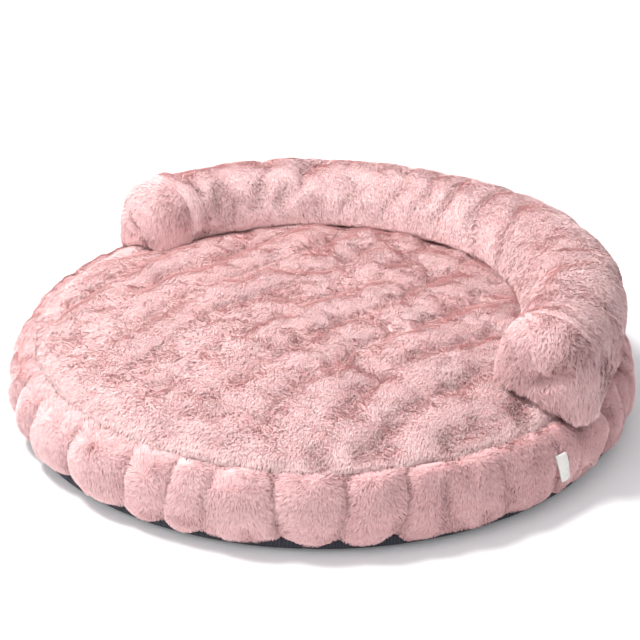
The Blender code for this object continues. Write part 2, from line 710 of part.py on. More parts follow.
def build_slider(metal):
    """Slider in its own frame: +X towards the closed end, +Y outward, on the chain's middle.

    Its two plates hang together by the wedge between the rows, and the tapes pass between
    the rails along both sides.
    """
    half = SLIDER_LENGTH / 2
    rear = TAPE_EDGE + SLIDER_RAIL
    flare = TOOTH_REACH + RUNNING_GAP
    front = rear + flare
    outline = [(-half, -rear), (0.0, -rear), (half - flare, -front), (half, -front + flare)]
    outline += [(along, -up) for along, up in reversed(outline)]
    depth = SLIDER_DEPTH / 2
    slider = prism("zipper_slider", outline, (-depth, depth), metal)

    past = half + SLIDER_WALL
    wedge = CHAIN_HALF_WIDTH - BEAD_WIDTH
    branch = [(-past, -TAPE_EDGE), (0.0, -TAPE_EDGE), (past, -TAPE_EDGE - flare), (past, -wedge)]
    channel_outline = branch + [(2 * RUNNING_GAP, 0.0)]
    channel_outline += [(along, -up) for along, up in reversed(branch)]
    room = depth - SLIDER_WALL
    cut(slider, prism("chain_channel", channel_outline, (-room, room)), "channel")
    slot = TAPE_THICKNESS / 2 + RUNNING_GAP
    for name, sign in (("upper_slot", 1), ("lower_slot", -1)):
        heights = sorted((sign * (wedge + RUNNING_GAP), sign * (front + SLIDER_WALL)))
        low = (-past, -slot, heights[0])
        cut(slider, block(name, low, (past, slot, heights[1])), name)

    window = 2 * pull_axis_lift()
    top = depth + window + BAIL_THICKNESS
    sunk = depth - SLIDER_WALL / 2
    inner = BAIL_HALF_LENGTH - BAIL_THICKNESS
    arch = [(-BAIL_HALF_LENGTH, sunk), (-BAIL_HALF_LENGTH, top - BAIL_THICKNESS)]
    arch += [(-inner, top), (inner, top)]
    arch += [(BAIL_HALF_LENGTH, top - BAIL_THICKNESS), (BAIL_HALF_LENGTH, sunk)]
    arch += [(inner, sunk), (inner, depth + window), (-inner, depth + window), (-inner, sunk)]
    rings = [[Vector((along, out, sign * BAIL_HALF_WIDTH)) for along, out in arch]
             for sign in (-1, 1)]
    bail = loft("slider_bail", rings, metal, capped=True, sharp_angle=30.0)
    cut(slider, bail, "bail", "UNION")
    return slider


def pull_axis_lift():
    """How far the pull's axis stands off the slider, so that its square bar can turn."""
    return PULL_THICKNESS * math.sqrt(0.5) + RUNNING_GAP


def build_pull(metal):
    """Pull in its own frame, with its bar on the axis and its tab towards -X."""
    bar = PULL_THICKNESS / 2
    eye = BAIL_HALF_WIDTH + 2 * RUNNING_GAP
    outer = eye + PULL_ARM
    reach = math.hypot(BAIL_HALF_LENGTH, pull_axis_lift() + BAIL_THICKNESS)
    hole_end = reach + 2 * RUNNING_GAP
    outline = [(bar, -eye), (bar - PULL_ARM / 2, -outer), (-hole_end, -outer)]
    outline += [(-hole_end - 2 * PULL_ARM, -eye), (-PULL_LENGTH + 3 * PULL_ARM, -outer)]
    outline += [(-PULL_LENGTH + PULL_ARM, -outer), (-PULL_LENGTH, -eye)]
    outline += [(along, -up) for along, up in reversed(outline)]
    pull = prism("zipper_pull", outline, (-bar, bar), metal)
    hole_low = (-hole_end, -PULL_THICKNESS, -eye)
    hole = block("pull_eye", hole_low, (-bar, PULL_THICKNESS, eye))
    cut(pull, hole, "eye")
    return pull


def build_stops(metal):
    """Stops ahead of the closed slider, one on each tape, and the stop that joins the rows."""
    half = TOOTH_THICKNESS / 2
    radii = (ZIP_RADIUS - half, ZIP_RADIUS + half)
    front = slider_azimuth() - chain_angle(SLIDER_LENGTH / 2 + SEAM_GAP)
    span = (front - chain_angle(STOP_LENGTH), front)
    inner = CHAIN_HALF_WIDTH - BEAD_WIDTH
    for name, sign in (("zipper_top_stop_upper", 1), ("zipper_top_stop_lower", -1)):
        heights = (ZIP_HEIGHT + sign * inner, ZIP_HEIGHT + sign * CHAIN_HALF_WIDTH)
        arc_strip(name, radii, heights, span, metal)
    start = chain_end() + chain_angle(RUNNING_GAP)
    heights = (ZIP_HEIGHT - CHAIN_HALF_WIDTH, ZIP_HEIGHT + CHAIN_HALF_WIDTH)
    span = (start, start + chain_angle(STOP_LENGTH))
    arc_strip("zipper_bottom_stop", radii, heights, span, metal)


def slider_azimuth():
    """Where the slider stands when the zip is closed: its wedge just clear of the teeth."""
    return chain_start() - chain_angle(RUNNING_GAP)


def build_covers():
    """All sewn panels and what fills them."""
    plush = make_material("plush", PLUSH_PINK, 0.95)
    lining = make_material("lining", LINING_WHITE, 0.9)
    underside = make_material("underside", UNDERSIDE_NAVY, 0.85)
    build_top_panel(plush)
    build_side_band(plush)
    build_bottom_panel(underside)
    build_base_cushion(lining)
    build_bolster_cover(plush)
    build_end_cap("bolster_end_cap_right", 0, plush)
    build_end_cap("bolster_end_cap_left", BOLSTER_SPANS, plush)
    build_bolster_cushion(lining)
    build_label(make_material("label", LABEL_WHITE, 0.7))


def build_zip():
    """The zip, closed, with its slider on an axis through the middle of the bed."""
    metal = make_material("zip_metal", SLIDER_GREY, 0.35, 1.0)
    teeth = make_material("zip_teeth", TAPE_PINK, 0.5)
    build_tapes(make_material("zip_tape", TAPE_PINK, 0.9))
    build_tooth_row("zipper_teeth_upper", 1, teeth)
    build_tooth_row("zipper_teeth_lower", -1, teeth)
    build_stops(metal)
    slide_axis = bpy.data.objects.new("slide_axis", None)
    bpy.context.scene.collection.objects.link(slide_axis)
    slide_axis.rotation_euler.z = math.radians(slider_azimuth() - REAR)
    slider = build_slider(metal)
    slider.parent = slide_axis
    slider.location = (0.0, ZIP_RADIUS, ZIP_HEIGHT)
    pull = build_pull(metal)
    pull.parent = slider
    pull.location = (0.0, SLIDER_DEPTH / 2 + pull_axis_lift(), 0.0)


def main():
    clear_scene()
    build_covers()
    build_zip()


main()
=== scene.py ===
"""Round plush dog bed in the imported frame: its covers with their pile, label, underside and zip.

Metres, +Z up. The origin is on the floor under the middle of the base, +Y points to the rear,
and azimuths are in degrees, counted from +X towards +Y.
"""

import math

import bmesh
import bpy
import numpy as np
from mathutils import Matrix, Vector


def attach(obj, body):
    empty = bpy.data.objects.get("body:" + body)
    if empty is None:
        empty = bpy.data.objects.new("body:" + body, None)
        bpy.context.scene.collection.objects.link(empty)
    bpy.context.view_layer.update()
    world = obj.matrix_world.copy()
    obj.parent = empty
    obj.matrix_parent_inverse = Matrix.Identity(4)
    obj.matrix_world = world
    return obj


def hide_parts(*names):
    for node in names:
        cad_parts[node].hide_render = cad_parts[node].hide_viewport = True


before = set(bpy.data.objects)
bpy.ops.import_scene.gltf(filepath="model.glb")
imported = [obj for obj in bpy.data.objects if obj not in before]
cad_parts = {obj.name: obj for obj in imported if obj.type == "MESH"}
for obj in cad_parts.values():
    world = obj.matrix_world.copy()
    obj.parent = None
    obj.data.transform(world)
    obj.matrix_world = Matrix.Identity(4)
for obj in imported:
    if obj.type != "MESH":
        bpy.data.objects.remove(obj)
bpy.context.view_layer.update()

# Shape of the solids, as in the model. Only the arch of the band and the rim of the underside
# differ a little, so that less is open past the ends of the zip.
TOP_SEAM_RADIUS = 0.420
TOP_SEAM_HEIGHT = 0.104
GIRTH_RADIUS = 0.461
GIRTH_HEIGHT = 0.048
HEM_RADIUS = 0.451
HEM_HEIGHT = 0.010
FLOOR_EDGE_RADIUS = 0.418
CROWN_RISE = 0.046
CROWN_POWER = 3.0
SHOULDER_POWER = 0.6
LOBES = 40
BOLSTER_RADIUS = 0.355
BOLSTER_HALF_WIDTH = 0.087
BOLSTER_FOOT_RADIUS = BOLSTER_RADIUS - BOLSTER_HALF_WIDTH + 0.023
BOLSTER_WAIST_HEIGHT = 0.152
BOLSTER_TOP_HEIGHT = 0.222
BOLSTER_HALF_ANGLE = 84.0
END_RISE = 0.008
END_NARROWING = 0.010
END_LEAN = 0.024
END_FOOT_STEP = 0.015
END_SAG = 0.030
LEAN_POWER = 3.0
END_BULGE = 0.062
END_TIP_HEIGHT = 0.145
ARCH_HEIGHT = 0.0247
RIM_HEIGHT = 0.0225
RIM_HEIGHT_BEHIND_ZIP = 0.0087
ARCH_HALF_ANGLE = 33.0
ARCH_RAMP_ANGLE = 6.0
RIM_HALF_ANGLE = 29.4
RIM_RAMP_ANGLE = 2.0
REAR = 90.0

# The ground lies this far inside the outer face of the pile, and has this thickness.
PILE = 0.0065
BACKING = 0.0012

# Ribs of the top panel, in step with those of the solid, and of the bolster.
RIB_PITCH = 0.075
RIB_DEPTH = 0.009
RIB_ROUNDNESS = 0.7
RIB_SWAY = 0.010
RIB_SWAY_LENGTH = 0.420
RIB_SWELL_LENGTH = 0.190
RIB_FADE = 0.035
BOLSTER_RIB_PITCH = 0.070
BOLSTER_RIB_DEPTH = 0.010

# Gathers of the side band: their depth, how far they lean and wander from girth to hem, in
# degrees, how far their tops rise beside the seam, at which turn and over how much of it, and how
# far the hem is drawn up, all round and between two lobes.
LOBE_DEPTH = 0.0115
GATHER_LEAN = 1.5
GATHER_WANDER = 3.0
LOBE_TOP_RISE = 0.007
LOBE_TOP_TURN = 24.0
LOBE_TOP_SPREAD = 16.0
HEM_LIFT = 0.005
HEM_SCALLOP = 0.010

# The bolster's foot sinks this far into the pile of the top panel.
FOOT_SINK = 0.0035

# How far the edges of the covers stop short of their seams.
TOP_EDGE_INSET = 0.0045
SEAM_GAP = 0.0004
CAP_GAP = 0.0006

# The ends of the bolster hang this much lower over the band than the solid does, and their caps
# are puckered in the middle, creased across and rumpled by this much.
END_DROOP = 0.014
END_DROOP_REACH = 0.018
CAP_PUCKER = 0.005
CAP_CREASE = 0.013
CAP_CREASE_WIDTH = 0.008
CAP_CREASE_DROP = 0.012
CAP_RUMPLE = 0.004

# The covers start this far inside their shape, and then swell for this many steps. A point that
# stands half of the crest height over its surroundings is on a crest.
BAND_SLACK = 0.006
BOLSTER_SLACK = 0.007
CLOTH_FRAMES = 24
CREST_HEIGHT = 0.006

# Pile: length of a strand, width at its root, how many there are per square metre and at most in
# one mesh, and how far they stay above the floor.
LOCK_LENGTH = 0.0078
LOCK_WIDTH = 0.00060
LOCKS_PER_AREA = 800000
MOST_LOCKS = 64000
FLOOR_CLEARANCE = 0.0008

# Half of the strip of the palette that one strand takes up, and how far a strand is shaded like
# the cover under it, not like the strand itself.
PALETTE_STRIP = 0.012
PILE_SOFTNESS = 0.90

# The side band is painted palest at this azimuth, on its side towards the key lamp, as painted light.
LIT_SIDE_AZIMUTH = 222.0

# Blank label on the band: the pile is left out this far to its sides, its fold is shifted aside
# and lifted off by this much, and its two layers, as thick as the ribbon, lie this far from
# their middle.
LABEL_AZIMUTH = -4.5
LABEL_WIDTH = 0.020
LABEL_TOP = 0.077
LABEL_LOW = 0.037
LABEL_CLEARING = 0.0115
LABEL_SLANT = 0.008
LABEL_LIFT = 0.003
LABEL_PLY = 0.0006
RIBBON = 0.0004

# Underside panel, and how much smaller the fillings look than their solids.
UNDERSIDE_LIFT = 0.0004
UNDERSIDE_WALL_INSET = 0.0079
UNDERSIDE_RIPPLE = 0.0008
FABRIC = 0.0009
BASE_FILLING_ROOM = 0.014
BOLSTER_FILLING_ROOM = 0.017

# Studio: how brightly the floor glows to the camera, and how brightly the surroundings light the bed.
FLOOR_GLOW = 0.07
AMBIENT_STRENGTH = 0.66

# Colours of the plush, from the root of a strand to its tip, and the paler pink that is painted on
# lit strands as painted light.
ROOT_ROSE = (0.64, 0.35, 0.355)
MIDDLE_ROSE = (0.87, 0.51, 0.515)
TIP_PINK = (0.96, 0.71, 0.705)
LIT_PINK = (0.98, 0.80, 0.79)


# Noise
def lattice(cells, seed):
    """A repeatable value from -1 to 1 at each whole-number cell."""
    value = cells[..., 0] * 73856093 ^ cells[..., 1] * 19349663 ^ cells[..., 2] * 83492791
    value = (value ^ (seed * 2654435761)) & 0xFFFFFFFF
    value = ((value ^ (value >> 15)) * 2246822519) & 0xFFFFFFFF
    value = ((value ^ (value >> 13)) * 3266489917) & 0xFFFFFFFF
    return ((value ^ (value >> 16)) & 0xFFFFFF) / float(0x7FFFFF) - 1.0


def noise(points, size, seed):
    """Smooth noise from -1 to 1, with features about this size."""
    stretched = points / size
    cells = np.floor(stretched).astype(np.int64)
    part = stretched - cells
    part = part * part * (3.0 - 2.0 * part)
    total = 0.0
    for corner in np.ndindex(2, 2, 2):
        share = 1.0
        for axis in range(3):
            share = share * (part[..., axis] if corner[axis] else 1.0 - part[..., axis])
        total = total + share * lattice(cells + np.array(corner), seed)
    return total


def noise_vectors(points, size, seed):
    """Three noises for each point, as a direction."""
    return np.stack([noise(points, size, seed + offset) for offset in (0, 11, 23)], axis=-1)


def unit(vectors):
    return vectors / np.maximum(np.linalg.norm(vectors, axis=-1, keepdims=True), 1e-9)


# Shape of the covers
def crown(radius):
    """Height of the top panel's outer face, without its ribs."""
    share = np.clip(radius / TOP_SEAM_RADIUS, 0.0, 1.0)
    return TOP_SEAM_HEIGHT + CROWN_RISE * (1.0 - share**CROWN_POWER) ** SHOULDER_POWER


def rib_hollow(points):
    """How deep the fabric sinks beside its soft ribs, which run from front to rear."""
    aside = points[..., 0]
    along = points[..., 1]
    lane = (aside - RIB_SWAY * np.sin(math.tau * along / RIB_SWAY_LENGTH)) / RIB_PITCH
    swell = 0.72 + 0.28 * np.sin(math.tau * (along / RIB_SWELL_LENGTH + 0.37 * np.round(lane)))
    lane = lane + 0.10 * noise(points, 0.06, 3) + 0.05 * noise(points, 0.025, 5)
    return swell * (1.0 - np.abs(np.sin(math.pi * lane)) ** RIB_ROUNDNESS)


def crumple(points):
    """Small soft dents and swellings between the ribs, in metres."""
    dents = np.clip(noise(points, 0.036, 14) - 0.05, 0.0, 1.0)
    return 0.0050 * dents + 0.0016 * noise(points, 0.017, 15) + 0.0008 * noise(points, 0.008, 16)


def smooth_step(value):
    value = np.clip(value, 0.0, 1.0)
    return value * value * (3.0 - 2.0 * value)


def rear_share(azimuth, half_angle, ramp_angle):
    """1 over this stretch of the rear, and 0 past the ramps at its ends."""
    aside = np.abs((azimuth - REAR + 180.0) % 360.0 - 180.0)
    return 1.0 - smooth_step((aside - half_angle) / ramp_angle)


def arch_share(azimuth):
    return rear_share(azimuth, ARCH_HALF_ANGLE, ARCH_RAMP_ANGLE)


def uneven_lobes():
    """Azimuths of the gathers, which aren't quite evenly spaced, and how deep each one is."""
    rng = np.random.default_rng(77)
    widths = np.clip(1.0 + 0.30 * rng.standard_normal(LOBES), 0.55, 1.6)
    edges = np.concatenate([[0.0], np.cumsum(widths)]) / widths.sum() * 360.0
    depths = rng.uniform(0.15, 1.2, LOBES)
    depths *= 0.80 + 0.35 * np.cos(np.radians(edges[:-1] + 25.0))
    return edges, np.append(depths, depths[0])


GATHERS, GATHER_DEPTHS = uneven_lobes()


def lobe_valley(azimuth):
    """Depth of the gathers: 0 on the crest of a lobe, and about 1 between two lobes."""
    turned = np.mod(azimuth, 360.0)
    index = np.clip(np.searchsorted(GATHERS, turned, side="right") - 1, 0, LOBES - 1)
    share = (turned - GATHERS[index]) / (GATHERS[index + 1] - GATHERS[index])
    depth = np.where(share < 0.5, GATHER_DEPTHS[index], GATHER_DEPTHS[index + 1])
    return depth * (1.0 - np.sin(math.pi * np.clip(share, 0.0, 1.0)) ** 0.82)


def band_profile(turn, azimuth, inset):
    """Radius and height of the band: turn 0 is the top seam, 90 the girth and 180 the hem."""
    low = turn > 90.0
    angle = np.radians(np.where(low, turn - 90.0, turn))
    seam = TOP_SEAM_RADIUS - inset * 0.6
    girth = GIRTH_RADIUS - inset
    hem = HEM_RADIUS - inset * 0.8
    top = TOP_SEAM_HEIGHT - SEAM_GAP - inset * 0.75
    arch = arch_share(azimuth)
    turns = np.radians(azimuth)
    ring = np.stack([np.cos(turns), np.sin(turns), 0 * turns], axis=-1)
    leaning = azimuth + (GATHER_WANDER * noise(ring, 0.2, 43) + GATHER_LEAN) * (turn / 90.0 - 1.0)
    valley = lobe_valley(leaning)
    scallop = HEM_SCALLOP * valley * (1.0 - arch)
    foot = HEM_HEIGHT + HEM_LIFT + (ARCH_HEIGHT - HEM_HEIGHT) * arch + scallop
    radius = np.where(low, hem + (girth - hem) * np.cos(angle),
                      seam + (girth - seam) * np.sin(angle))
    height = np.where(low, GIRTH_HEIGHT - (GIRTH_HEIGHT - foot) * np.sin(angle),
                      GIRTH_HEIGHT + (top - GIRTH_HEIGHT) * np.cos(angle))
    rise = LOBE_TOP_RISE * np.exp(-((turn - LOBE_TOP_TURN) / LOBE_TOP_SPREAD) ** 2)
    height = height + rise * (1.0 - np.minimum(valley, 1.0))
    gathered = 0.35 + 0.65 * np.sin(np.radians(np.clip(turn, 0.0, 165.0))) ** 0.6
    depth = LOBE_DEPTH * 0.6
    return radius - depth * gathered * valley, height


def round_points(radius, azimuth, height):
    turn = np.radians(azimuth)
    return np.stack([radius * np.cos(turn), radius * np.sin(turn), height + 0 * turn], axis=-1)


def azimuth_of(points):
    return np.degrees(np.arctan2(points[..., 1], points[..., 0]))


def radius_of(points):
    return np.hypot(points[..., 0], points[..., 1])


def outward_of(points):
    """Level directions from the middle axis to these points."""
    return unit(points * np.array([1.0, 1.0, 0.0]))


def core_radius(end_share):
    """Radius of the middle of the bolster, which leans outward towards its ends."""
    return BOLSTER_RADIUS + END_LEAN * end_share**LEAN_POWER


def side_point(foot, edge, waist, angle):
    """Radius and height on a side of the bolster: angle 90 is its foot, and 0 its waist."""
    turn = math.radians(angle)
    foot_height = float(crown(foot)) - FOOT_SINK
    radius = foot + (edge - foot) * abs(math.cos(turn)) ** 0.7
    return radius, waist - (waist - foot_height) * math.sin(turn)


def bolster_section(inset, end_share):
    """Radii and heights round the bolster, from its inner foot over the top and back."""
    side_steps = 12
    top_steps = 34
    seat_steps = 8
    drift = end_share**LEAN_POWER
    top = BOLSTER_TOP_HEIGHT + END_RISE * end_share**2 - inset
    core = core_radius(end_share)
    half = BOLSTER_HALF_WIDTH - END_NARROWING * drift - inset
    inner = BOLSTER_FOOT_RADIUS + inset * 0.7
    inner += END_FOOT_STEP * drift
    outer = TOP_SEAM_RADIUS - inset * 0.7
    outer_waist = BOLSTER_WAIST_HEIGHT - END_SAG * drift
    points = []
    for step in range(side_steps):
        angle = 90.0 * (1.0 - step / side_steps)
        points.append(side_point(inner, core - half, BOLSTER_WAIST_HEIGHT, angle))
    for step in range(top_steps + 1):
        angle = math.radians(180.0 * (1.0 - step / top_steps))
        across = math.copysign(abs(math.cos(angle)) ** 0.85, math.cos(angle))
        waist = BOLSTER_WAIST_HEIGHT if across < 0.0 else outer_waist
        points.append((core + half * across, waist + (top - waist) * abs(math.sin(angle)) ** 0.9))
    for step in range(1, side_steps + 1):
        points.append(side_point(outer, core + half, outer_waist, 90.0 * step / side_steps))
    for step in range(1, seat_steps):
        radius = outer + (inner - outer) * step / seat_steps
        points.append((radius, float(crown(radius)) - FOOT_SINK))
    return np.array(points)


# Making meshes
def set_values(item, **values):
    for key, value in values.items():
        setattr(item, key, value)


def add_object(name, data):
    item = bpy.data.objects.new(name, data)
    bpy.context.scene.collection.objects.link(item)
    return item


def add_mesh(name, points, faces, material=None):
    mesh = bpy.data.meshes.new(name)
    mesh.from_pydata([tuple(point) for point in points], [], [tuple(face) for face in faces])
    mesh.validate()
    mesh.shade_smooth()
    if material:
        mesh.materials.append(material)
    return add_object(name, mesh)


def grid_faces(rows, columns, wrap_columns=False):
    row = np.arange(rows - 1)
    column = np.arange(columns if wrap_columns else columns - 1)
    first, second = np.meshgrid(row, column, indexing="ij")
    first = first.ravel()
    second = second.ravel()
    after = (second + 1) % columns
    below = first + 1
    return np.stack([first * columns + second, first * columns + after,
                     below * columns + after, below * columns + second], axis=-1)


def face_normals(points, faces):
    """Normals of faces with four corners, twice as long as the face's area."""
    corners = points[faces]
    return np.cross(corners[:, 2] - corners[:, 0], corners[:, 3] - corners[:, 1])


def point_normals(points, faces):
    weighted = face_normals(points, faces)
    total = np.zeros_like(points)
    for corner in range(faces.shape[1]):
        np.add.at(total, faces[:, corner], weighted)
    return unit(total)


def facing_out(points, faces):
    """The faces, turned to face away from the middle of the bed's inside."""
    centres = points[faces].mean(axis=1)
    away = (face_normals(points, faces) * (centres - np.array([0.0, 0.0, GIRTH_HEIGHT]))).sum()
    return points, faces if away > 0 else faces[:, ::-1]


def thicken(piece, name, thickness, offset=-1.0):
    """Make a surface solid: inward with an offset of -1, and to both sides with 0."""
    solid = piece.modifiers.new(name, "SOLIDIFY")
    solid.thickness = thickness
    solid.offset = offset


def swelled(points, faces, held, growth, pressure, most):
    """The shift of each point when the cover, cut this much larger, is stuffed: its seams hold,
    and the cloth between them swells and buckles into folds, each point by the most at most."""
    scene = bpy.context.scene
    cloth = add_mesh("loose_cloth", points, faces)
    seams = cloth.vertex_groups.new(name="seams")
    seams.add([int(index) for index in np.flatnonzero(held)], 1.0, "REPLACE")
    change = cloth.modifiers.new("cloth", "CLOTH")
    settings = change.settings
    set_values(settings, quality=5, mass=0.3, tension_stiffness=20.0, compression_stiffness=20.0,
               shear_stiffness=8.0, bending_stiffness=0.8, air_damping=4.0, use_pressure=True,
               uniform_pressure_force=pressure, shrink_min=-growth, vertex_group_mass="seams")
    settings.effector_weights.gravity = 0.0
    change.collision_settings.use_collision = False
    change.collision_settings.use_self_collision = False
    change.point_cache.frame_start = 1
    change.point_cache.frame_end = CLOTH_FRAMES
    for step in range(1, CLOTH_FRAMES + 1):
        scene.frame_set(step)
    settled = cloth.evaluated_get(bpy.context.evaluated_depsgraph_get()).to_mesh()
    result = np.empty(len(points) * 3)
    settled.vertices.foreach_get("co", result)
    mesh = cloth.data
    bpy.data.objects.remove(cloth)
    bpy.data.meshes.remove(mesh)
    scene.frame_set(1)
    shift = result.reshape(-1, 3) - points
    length = np.linalg.norm(shift, axis=1, keepdims=True)
    return shift * most * np.tanh(length / most) / np.maximum(length, 1e-9)


def blurred(field, span, wraps=False):
    """A field over a grid, whose columns may wrap, averaged over this many neighbours."""
    for axis in (0, 1):
        room = [(0, 0)] * field.ndim
        room[axis] = (span, span)
        wide = np.pad(field, room, mode="wrap" if wraps and axis == 1 else "edge")
        count = field.shape[axis]
        field = sum(np.take(wide, range(start, start + count), axis=axis)
                    for start in range(2 * span + 1)) / (2 * span + 1)
    return field


def crest_share(points, faces, rows):
    """How high each point of a grid stands over its surroundings, from 0 in the hollows to 1."""
    grid = points.reshape(rows, -1, 3)
    rise = (grid - blurred(grid, 5)).reshape(-1, 3)
    rise = np.einsum("ij,ij->i", rise, point_normals(points, faces)).reshape(rows, -1)
    rise = rise - blurred(blurred(rise, 8), 8)
    return smooth_step(0.5 + rise / CREST_HEIGHT).ravel()


def top_panel_grid():
    """The top cover on an even grid, which a square lends to the disc."""
    side = 128
    edge = TOP_SEAM_RADIUS - TOP_EDGE_INSET
    steps = np.linspace(-1.0, 1.0, side)
    first, second = np.meshgrid(steps, steps, indexing="ij")
    points = np.zeros((side, side, 3))
    points[..., 0] = edge * first * np.sqrt(1.0 - second**2 / 2.0)
    points[..., 1] = edge * second * np.sqrt(1.0 - first**2 / 2.0)
    radius = radius_of(points)
    foot = BOLSTER_FOOT_RADIUS
    room = np.minimum(edge - radius, np.maximum(-points[..., 1], foot - radius))
    share = np.clip(room / RIB_FADE, 0.0, 1.0)
    sunk = share * 0.85 * RIB_DEPTH * rib_hollow(points) + (0.2 + 0.5 * share) * crumple(points)
    points[..., 2] = crown(radius / edge * TOP_SEAM_RADIUS) - PILE - sunk
    points[..., 2] += 0.0015 * smooth_step((radius / edge - 0.965) / 0.035)
    held = (radius > edge * 0.998) | ((radius > foot + 0.02) & (points[..., 1] > 0.0))
    flat, faces = facing_out(points.reshape(-1, 3), grid_faces(side, side))
    shift = swelled(flat, faces, held.ravel(), growth=0.05, pressure=0.8, most=0.030)
    shift = blurred(shift.reshape(points.shape), 1)
    drift = blurred(blurred(shift, 7), 7)
    flat = flat + (shift - 0.85 * drift).reshape(-1, 3)
    return flat, faces, crest_share(flat, faces, side)


def side_band_grid():
    """The side band, loose between its two seams, which gather it."""
    rows, columns = 28, 560
    turn = np.linspace(0.0, 180.0, rows)[:, None] + np.zeros((1, columns))
    azimuth = np.linspace(0.0, 360.0, columns, endpoint=False)[None, :] + np.zeros((rows, 1))
    slack = BAND_SLACK * np.sin(np.radians(turn))
    radius, height = band_profile(turn, azimuth, PILE + slack)
    points = round_points(radius, azimuth, height)
    points += outward_of(points) * 0.0015 * noise(points, 0.024, 53)[..., None]
    held = (turn < 0.1) | (turn > 179.9)
    flat, faces = facing_out(points.reshape(-1, 3), grid_faces(rows, columns, wrap_columns=True))
    shift = swelled(flat, faces, held.ravel(), growth=0.11, pressure=3.0, most=0.020)
    flat = flat + blurred(shift.reshape(points.shape), 1, wraps=True).reshape(-1, 3)
    return flat, faces, crest_share(flat, faces, rows)


def drooped(points, share):
    """Points at the bolster's ends, whose outer side hangs low over the band by this share."""
    radius = radius_of(points)
    out = np.clip((radius - TOP_SEAM_RADIUS) / (GIRTH_RADIUS - TOP_SEAM_RADIUS), 0.0, 0.99)
    band_top = GIRTH_HEIGHT + (TOP_SEAM_HEIGHT - GIRTH_HEIGHT) * np.sqrt(1.0 - out**2)
    over = smooth_step((radius - TOP_SEAM_RADIUS) / END_DROOP_REACH)
    low = smooth_step((BOLSTER_WAIST_HEIGHT + 0.008 - points[..., 2]) / 0.05)
    drop = END_DROOP * over * low * share
    points = points.copy()
    height = points[..., 2]
    lowered = np.maximum(height - drop, band_top + 0.002)
    points[..., 2] = np.where(drop > 0.0, lowered, height)
    return points


def bolster_grid():
    """The bolster's cover, loose between its seams, with soft ribs across it."""
    stations = 200
    azimuths = np.linspace(REAR - BOLSTER_HALF_ANGLE, REAR + BOLSTER_HALF_ANGLE, stations)
    end_shares = np.abs(azimuths - REAR) / BOLSTER_HALF_ANGLE
    rings = []
    for azimuth, end_share in zip(azimuths, end_shares):
        section = bolster_section(PILE + BOLSTER_SLACK * (1.0 - end_share**12), end_share)
        rings.append(round_points(section[:, 0], np.full(len(section), azimuth), section[:, 1]))
    points = drooped(np.array(rings), end_shares[:, None] ** 12)
    rows, columns = points.shape[:2]
    faces = grid_faces(rows, columns, wrap_columns=True)
    flat = points.reshape(-1, 3)
    normals = point_normals(flat, faces)
    middle = round_points(core_radius(end_shares), azimuths, BOLSTER_WAIST_HEIGHT)
    outward = np.einsum("ij,ij->i", normals, flat - np.repeat(middle, columns, axis=0))
    if outward.mean() < 0:
        faces = faces[:, ::-1]
        normals = -normals
    turns = np.radians(np.repeat(azimuths, columns))
    along = turns * BOLSTER_RADIUS
    warp = 0.5 * noise(flat, 0.12, 61) + 0.25 * noise(flat, 0.05, 63)
    valley = 1.0 - np.abs(np.sin(math.pi * (along / BOLSTER_RIB_PITCH + warp))) ** 0.75
    strength = np.clip(0.6 + 0.6 * noise(flat, 0.09, 67), 0.1, 1.1)
    hollow = np.clip(noise(flat, 0.05, 71) - 0.1, 0.0, 1.0)
    free = np.clip((flat[:, 2] - crown(radius_of(flat)) - 0.004) / 0.03, 0.0, 1.0)
    depth = BOLSTER_RIB_DEPTH * 0.65
    sunk = depth * (valley * strength + 0.8 * hollow) * free
    end = np.repeat(end_shares, columns)
    sunk += 0.005 * np.clip((end - 0.965) / 0.035, 0.0, 1.0) ** 2 * free
    flat = flat - normals * sunk[:, None]
    held = (flat[:, 2] < crown(radius_of(flat)) + 0.010) | (end > 0.999)
    shift = swelled(flat, faces, held, growth=0.06, pressure=2.5, most=0.018)
    flat = flat + blurred(shift.reshape(points.shape), 1, wraps=True).reshape(-1, 3)
    return flat, faces, crest_share(flat, faces, stations)


